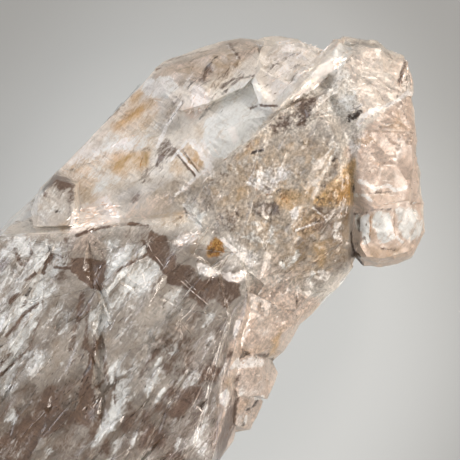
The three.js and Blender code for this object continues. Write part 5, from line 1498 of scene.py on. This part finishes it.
class QUARTZ_OT_grow_skin(bpy.types.Operator):
    """Grows the crystal's outer skin over the CAD solid, with its relief and its tints"""

    bl_idname = "quartz.grow_skin"
    bl_label = "Grow quartz skin"

    def execute(self, context):
        s = context.scene.quartz_settings
        middle = picture_middle()
        points, faces = cad_surface()
        points = points - middle
        fine, plain, back, stroke = (
            value / MM for value in (s.broken_edge, s.front_edge, s.back_edge, s.stroke_edge))

        def too_long(pair, length):
            spots = points[pair].mean(axis=1)
            leaning = facing[pair].mean(axis=1)
            front = smooth_step((spots[:, 2] - 9) / 2) * smooth_step(leaning[:, 2] / 0.5)
            front = front * (0.25 + 0.75 * in_picture(spots, leaning, 3.5))
            rough = sum(inside(spots[:, :2], outline, 0.8) for outline in (SWELLING, HEAD, SIDE_LOBE))
            small = plain + (fine - plain) * np.clip(rough, 0, 1)
            return length > back + (small - back) * front

        def crosses_a_stroke(pair, length):
            change = np.abs(tints[pair[:, 0]] - tints[pair[:, 1]]).max(axis=1)
            return (length > stroke) & (change > s.stroke_change)

        for turn in range(12):
            facing = corner_normals(points, faces)
            points, faces, more = split_edges(points, faces, too_long)
            if not more:
                break
        for turn in range(2):
            facing = corner_normals(points, faces)
            tints = np.stack(list(painted(points).values()), axis=1)
            tints = tints * in_picture(points, facing, 2.5)[:, None]
            points, faces, more = split_edges(points, faces, crosses_a_stroke)
        share = smooth_step((STEP_REACH - line_distance(points[:, :2], places(HEAD_STEP))) / STEP_EASE)
        points = settled(points, faces, share * smooth_step(points[:, 2] - 8), STEP_TURNS)
        facing = corner_normals(points, faces)
        height = relief(points, facing, s)
        height = height * smooth_step(points[:, 2] / 0.8)
        moved = points + facing * height[:, None]
        low = np.array(CAD_BOX[0]) / MM - middle
        high = np.array(CAD_BOX[1]) / MM - middle
        resting = points[:, 2] < 0.02
        moved = np.clip(moved, low + 0.002, high - 0.002)
        moved[:, 2] = np.where(resting, points[:, 2], np.maximum(moved[:, 2], 0.02))
        piece = new_mesh_object("quartz_skin", moved + middle, faces, grown_quartz(s))
        facing = corner_normals(moved, faces)
        for name, values in masks(moved, facing).items():
            add_attribute(piece.data, name, values)
        piece.data.set_sharp_from_angle(angle=math.radians(38))
        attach(piece, BODY)
        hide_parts(CRYSTAL)
        if len(faces) > FACE_LIMIT:
            raise RuntimeError(f"The skin has {len(faces)} faces, more than its file holds")
        return {"FINISHED"}


class QUARTZ_OT_heal_fractures(bpy.types.Operator):
    """Lays the white healed fractures, hackle lines and bruises just under the skin, and white flakes that
    paint highlights on the riser, the chevron, a small highlight and the bright sliver
    """

    bl_idname = "quartz.heal_fractures"
    bl_label = "Heal fractures"

    def execute(self, context):
        s = context.scene.quartz_settings
        material = flake_stone("quartz_healed_white_and_glints", s.frost_colour, s.blush_colour, 0.3)
        lay_flakes("healed_fractures_and_glints", "bright", material, 5)
        return {"FINISHED"}


class QUARTZ_OT_open_slits(bpy.types.Operator):
    """Lays the dark open slits, veins and mineral specks, and a dark line of flakes that paints the shade in
    the crack between the head and the swelling
    """

    bl_idname = "quartz.open_slits"
    bl_label = "Open slits"

    def execute(self, context):
        s = context.scene.quartz_settings
        material = flake_stone("manganese_film_and_crack_shade", s.ink_colour, s.smoke_colour, 0.5)
        lay_flakes("dark_slits_and_crack_shade", "dark", material, 6)
        return {"FINISHED"}


class QUARTZ_OT_stain_iron(bpy.types.Operator):
    """Lays the ochre iron films in the fractures and the iron spot by the chevron"""

    bl_idname = "quartz.stain_iron"
    bl_label = "Stain with iron"

    def execute(self, context):
        s = context.scene.quartz_settings
        material = flake_stone("limonite_film_earthy", s.iron_colour, s.rust_colour, 0.6)
        lay_flakes("iron_films", "iron", material, 7)
        return {"FINISHED"}


class QUARTZ_OT_set_stage(bpy.types.Operator):
    """Sets the pale floor, which glows with a painted pool of light, the soft light and the camera over the
    crystal's front
    """

    bl_idname = "quartz.set_stage"
    bl_label = "Set stage"

    def execute(self, context):
        s = context.scene.quartz_settings
        scene = context.scene
        middle = picture_middle()
        corners = np.array([[-4000, -4000, -0.05], [4000, -4000, -0.05], [4000, 4000, -0.05],
                            [-4000, 4000, -0.05]], float)
        faces = np.array([[0, 1, 2], [0, 2, 3]])
        material = bpy.data.materials.new("pale_floor_glow_and_painted_pool")
        material.use_nodes = True
        tree = material.node_tree
        tree.nodes.clear()
        place = add_node(tree, "ShaderNodeTexCoord").outputs["Object"]
        # Painted light: the floor glows, and its colour falls off in an oval round a point low in the
        # photograph, a painted pool of light with painted shade towards the corners
        oval = add_node(tree, "ShaderNodeMapping", {"vector_type": "TEXTURE"}, {
            "Vector": place,
            "Location": tuple((middle + (-9.4, -7.0, 0)) * MM),
            "Rotation": (0.0, 0.0, math.radians(-PICTURE_ROLL)),
            "Scale": (0.83, 1.0, 1.0),
        }).outputs["Vector"]
        away = add_node(tree, "ShaderNodeVectorMath", {"operation": "LENGTH"}, {0: oval}).outputs["Value"]
        tone = (*s.floor_colour, 1)
        share = add_node(tree, "ShaderNodeMapRange", {"interpolation_type": "SMOOTHSTEP"}, {
            "Value": away, "From Min": 0.0225, "From Max": 0.055,
        }).outputs["Result"]
        tone = add_node(tree, "ShaderNodeMix", {"data_type": "RGBA"}, {
            0: share, 6: tone, 7: (*s.floor_shade, 1),
        }).outputs[2]
        paper = add_node(tree, "ShaderNodeVectorMath", {"operation": "SCALE"}, {
            0: tone, "Scale": 0.14,
        }).outputs["Vector"]
        surface = add_node(tree, "ShaderNodeBsdfPrincipled", None, {
            "Base Color": paper,
            "Roughness": 0.9,
            "Specular IOR Level": 0.2,
            "Emission Color": tone,
            "Emission Strength": s.floor_glow,
        }).outputs["BSDF"]
        add_node(tree, "ShaderNodeOutputMaterial", None, {"Surface": surface})
        floor = new_mesh_object("pale_floor", corners, faces, material, smooth=False)

        world = bpy.data.worlds.new("soft_studio")
        world.use_nodes = True
        tree = world.node_tree
        tree.nodes.clear()
        place = add_node(tree, "ShaderNodeTexCoord").outputs["Generated"]
        height = add_node(tree, "ShaderNodeSeparateXYZ", None, {0: place}).outputs["Z"]
        share = add_node(tree, "ShaderNodeMapRange", {"interpolation_type": "SMOOTHSTEP"}, {
            "Value": height, "From Min": 0.0, "From Max": 0.9,
        }).outputs["Result"]
        tone = add_node(tree, "ShaderNodeMix", {"data_type": "RGBA"}, {
            0: share, 6: (*linear("#d2d2d2"), 1), 7: (*linear("#e6e6e8"), 1),
        }).outputs[2]
        light = add_node(tree, "ShaderNodeBackground", None, {"Color": tone, "Strength": 0.75})
        add_node(tree, "ShaderNodeOutputWorld", None, {"Surface": light.outputs["Background"]})
        scene.world = world

        # name, heading round the crystal, height angle, distance mm, width mm, watts, colour
        lamps = (
            ("key_softbox", -60, 35, 420, 200, 2.5, "#fff4ea"),
            ("flank_softbox", 112, 26, 420, 420, 1.9, "#f8f8ff"),
            ("low_softbox", 10, 22, 380, 120, 1.6, "#fff1e4"),
        )
        for name, heading, rise, distance, width, watts, colour in lamps:
            lamp = bpy.data.lights.new(name, "AREA")
            lamp.shape = "DISK"
            lamp.size = width * MM
            lamp.energy = watts
            lamp.color = linear(colour)
            away = np.array([
                math.cos(math.radians(rise)) * math.cos(math.radians(heading)),
                math.cos(math.radians(rise)) * math.sin(math.radians(heading)),
                math.sin(math.radians(rise)),
            ])
            holder = bpy.data.objects.new(name, lamp)
            holder.location = tuple((middle + (0, 0, 12) + away * distance) * MM)
            holder.rotation_euler = (math.radians(90 - rise), 0, math.radians(heading + 90))
            scene.collection.objects.link(holder)

        lens = bpy.data.cameras.new("picture_camera")
        distance = 400.0
        lens.sensor_width = 36.0
        lens.lens = lens.sensor_width * distance / (PICTURE_WIDTH * PICTURE_SCALE)
        lens.clip_start = 0.01
        lens.clip_end = 20.0
        camera = bpy.data.objects.new("picture_camera", lens)
        camera.location = tuple((middle + (0, 0, 12 + distance)) * MM)
        camera.rotation_euler = (0.0, 0.0, math.radians(-PICTURE_ROLL))
        scene.collection.objects.link(camera)
        scene.camera = camera

        scene.view_settings.view_transform = "Standard"
        scene.cycles.use_denoising = True
        scene.cycles.max_bounces = 24
        scene.cycles.transmission_bounces = 20
        scene.cycles.glossy_bounces = 8
        scene.cycles.diffuse_bounces = 4
        scene.cycles.sample_clamp_indirect = 6.0
        return {"FINISHED"}


class QUARTZ_PT_crystal(bpy.types.Panel):
    """Lists the crystal's sizes and colours and the steps that make it"""

    bl_idname = "QUARTZ_PT_crystal"
    bl_label = "Quartz crystal"
    bl_space_type = "VIEW_3D"
    bl_region_type = "UI"
    bl_category = "Quartz"

    def draw(self, context):
        layout = self.layout
        for step in STEPS:
            layout.operator(step.bl_idname)
        for name in QuartzSettings.__annotations__:
            layout.prop(context.scene.quartz_settings, name)


STEPS = (QUARTZ_OT_grow_skin, QUARTZ_OT_heal_fractures, QUARTZ_OT_open_slits, QUARTZ_OT_stain_iron,
         QUARTZ_OT_set_stage)
CLASSES = (QuartzSettings, *STEPS, QUARTZ_PT_crystal)


def register():
    """Adds the classes and gives each scene its settings."""
    for cls in CLASSES:
        bpy.utils.register_class(cls)
    bpy.types.Scene.quartz_settings = PointerProperty(type=QuartzSettings)


def unregister():
    """Takes the settings and the classes away again."""
    del bpy.types.Scene.quartz_settings
    for cls in reversed(CLASSES):
        bpy.utils.unregister_class(cls)


def main():
    """Makes every piece in order."""
    register()
    bpy.ops.quartz.grow_skin()
    bpy.ops.quartz.heal_fractures()
    bpy.ops.quartz.open_slits()
    bpy.ops.quartz.stain_iron()
    bpy.ops.quartz.set_stage()


if __name__ == "__main__":
    main()
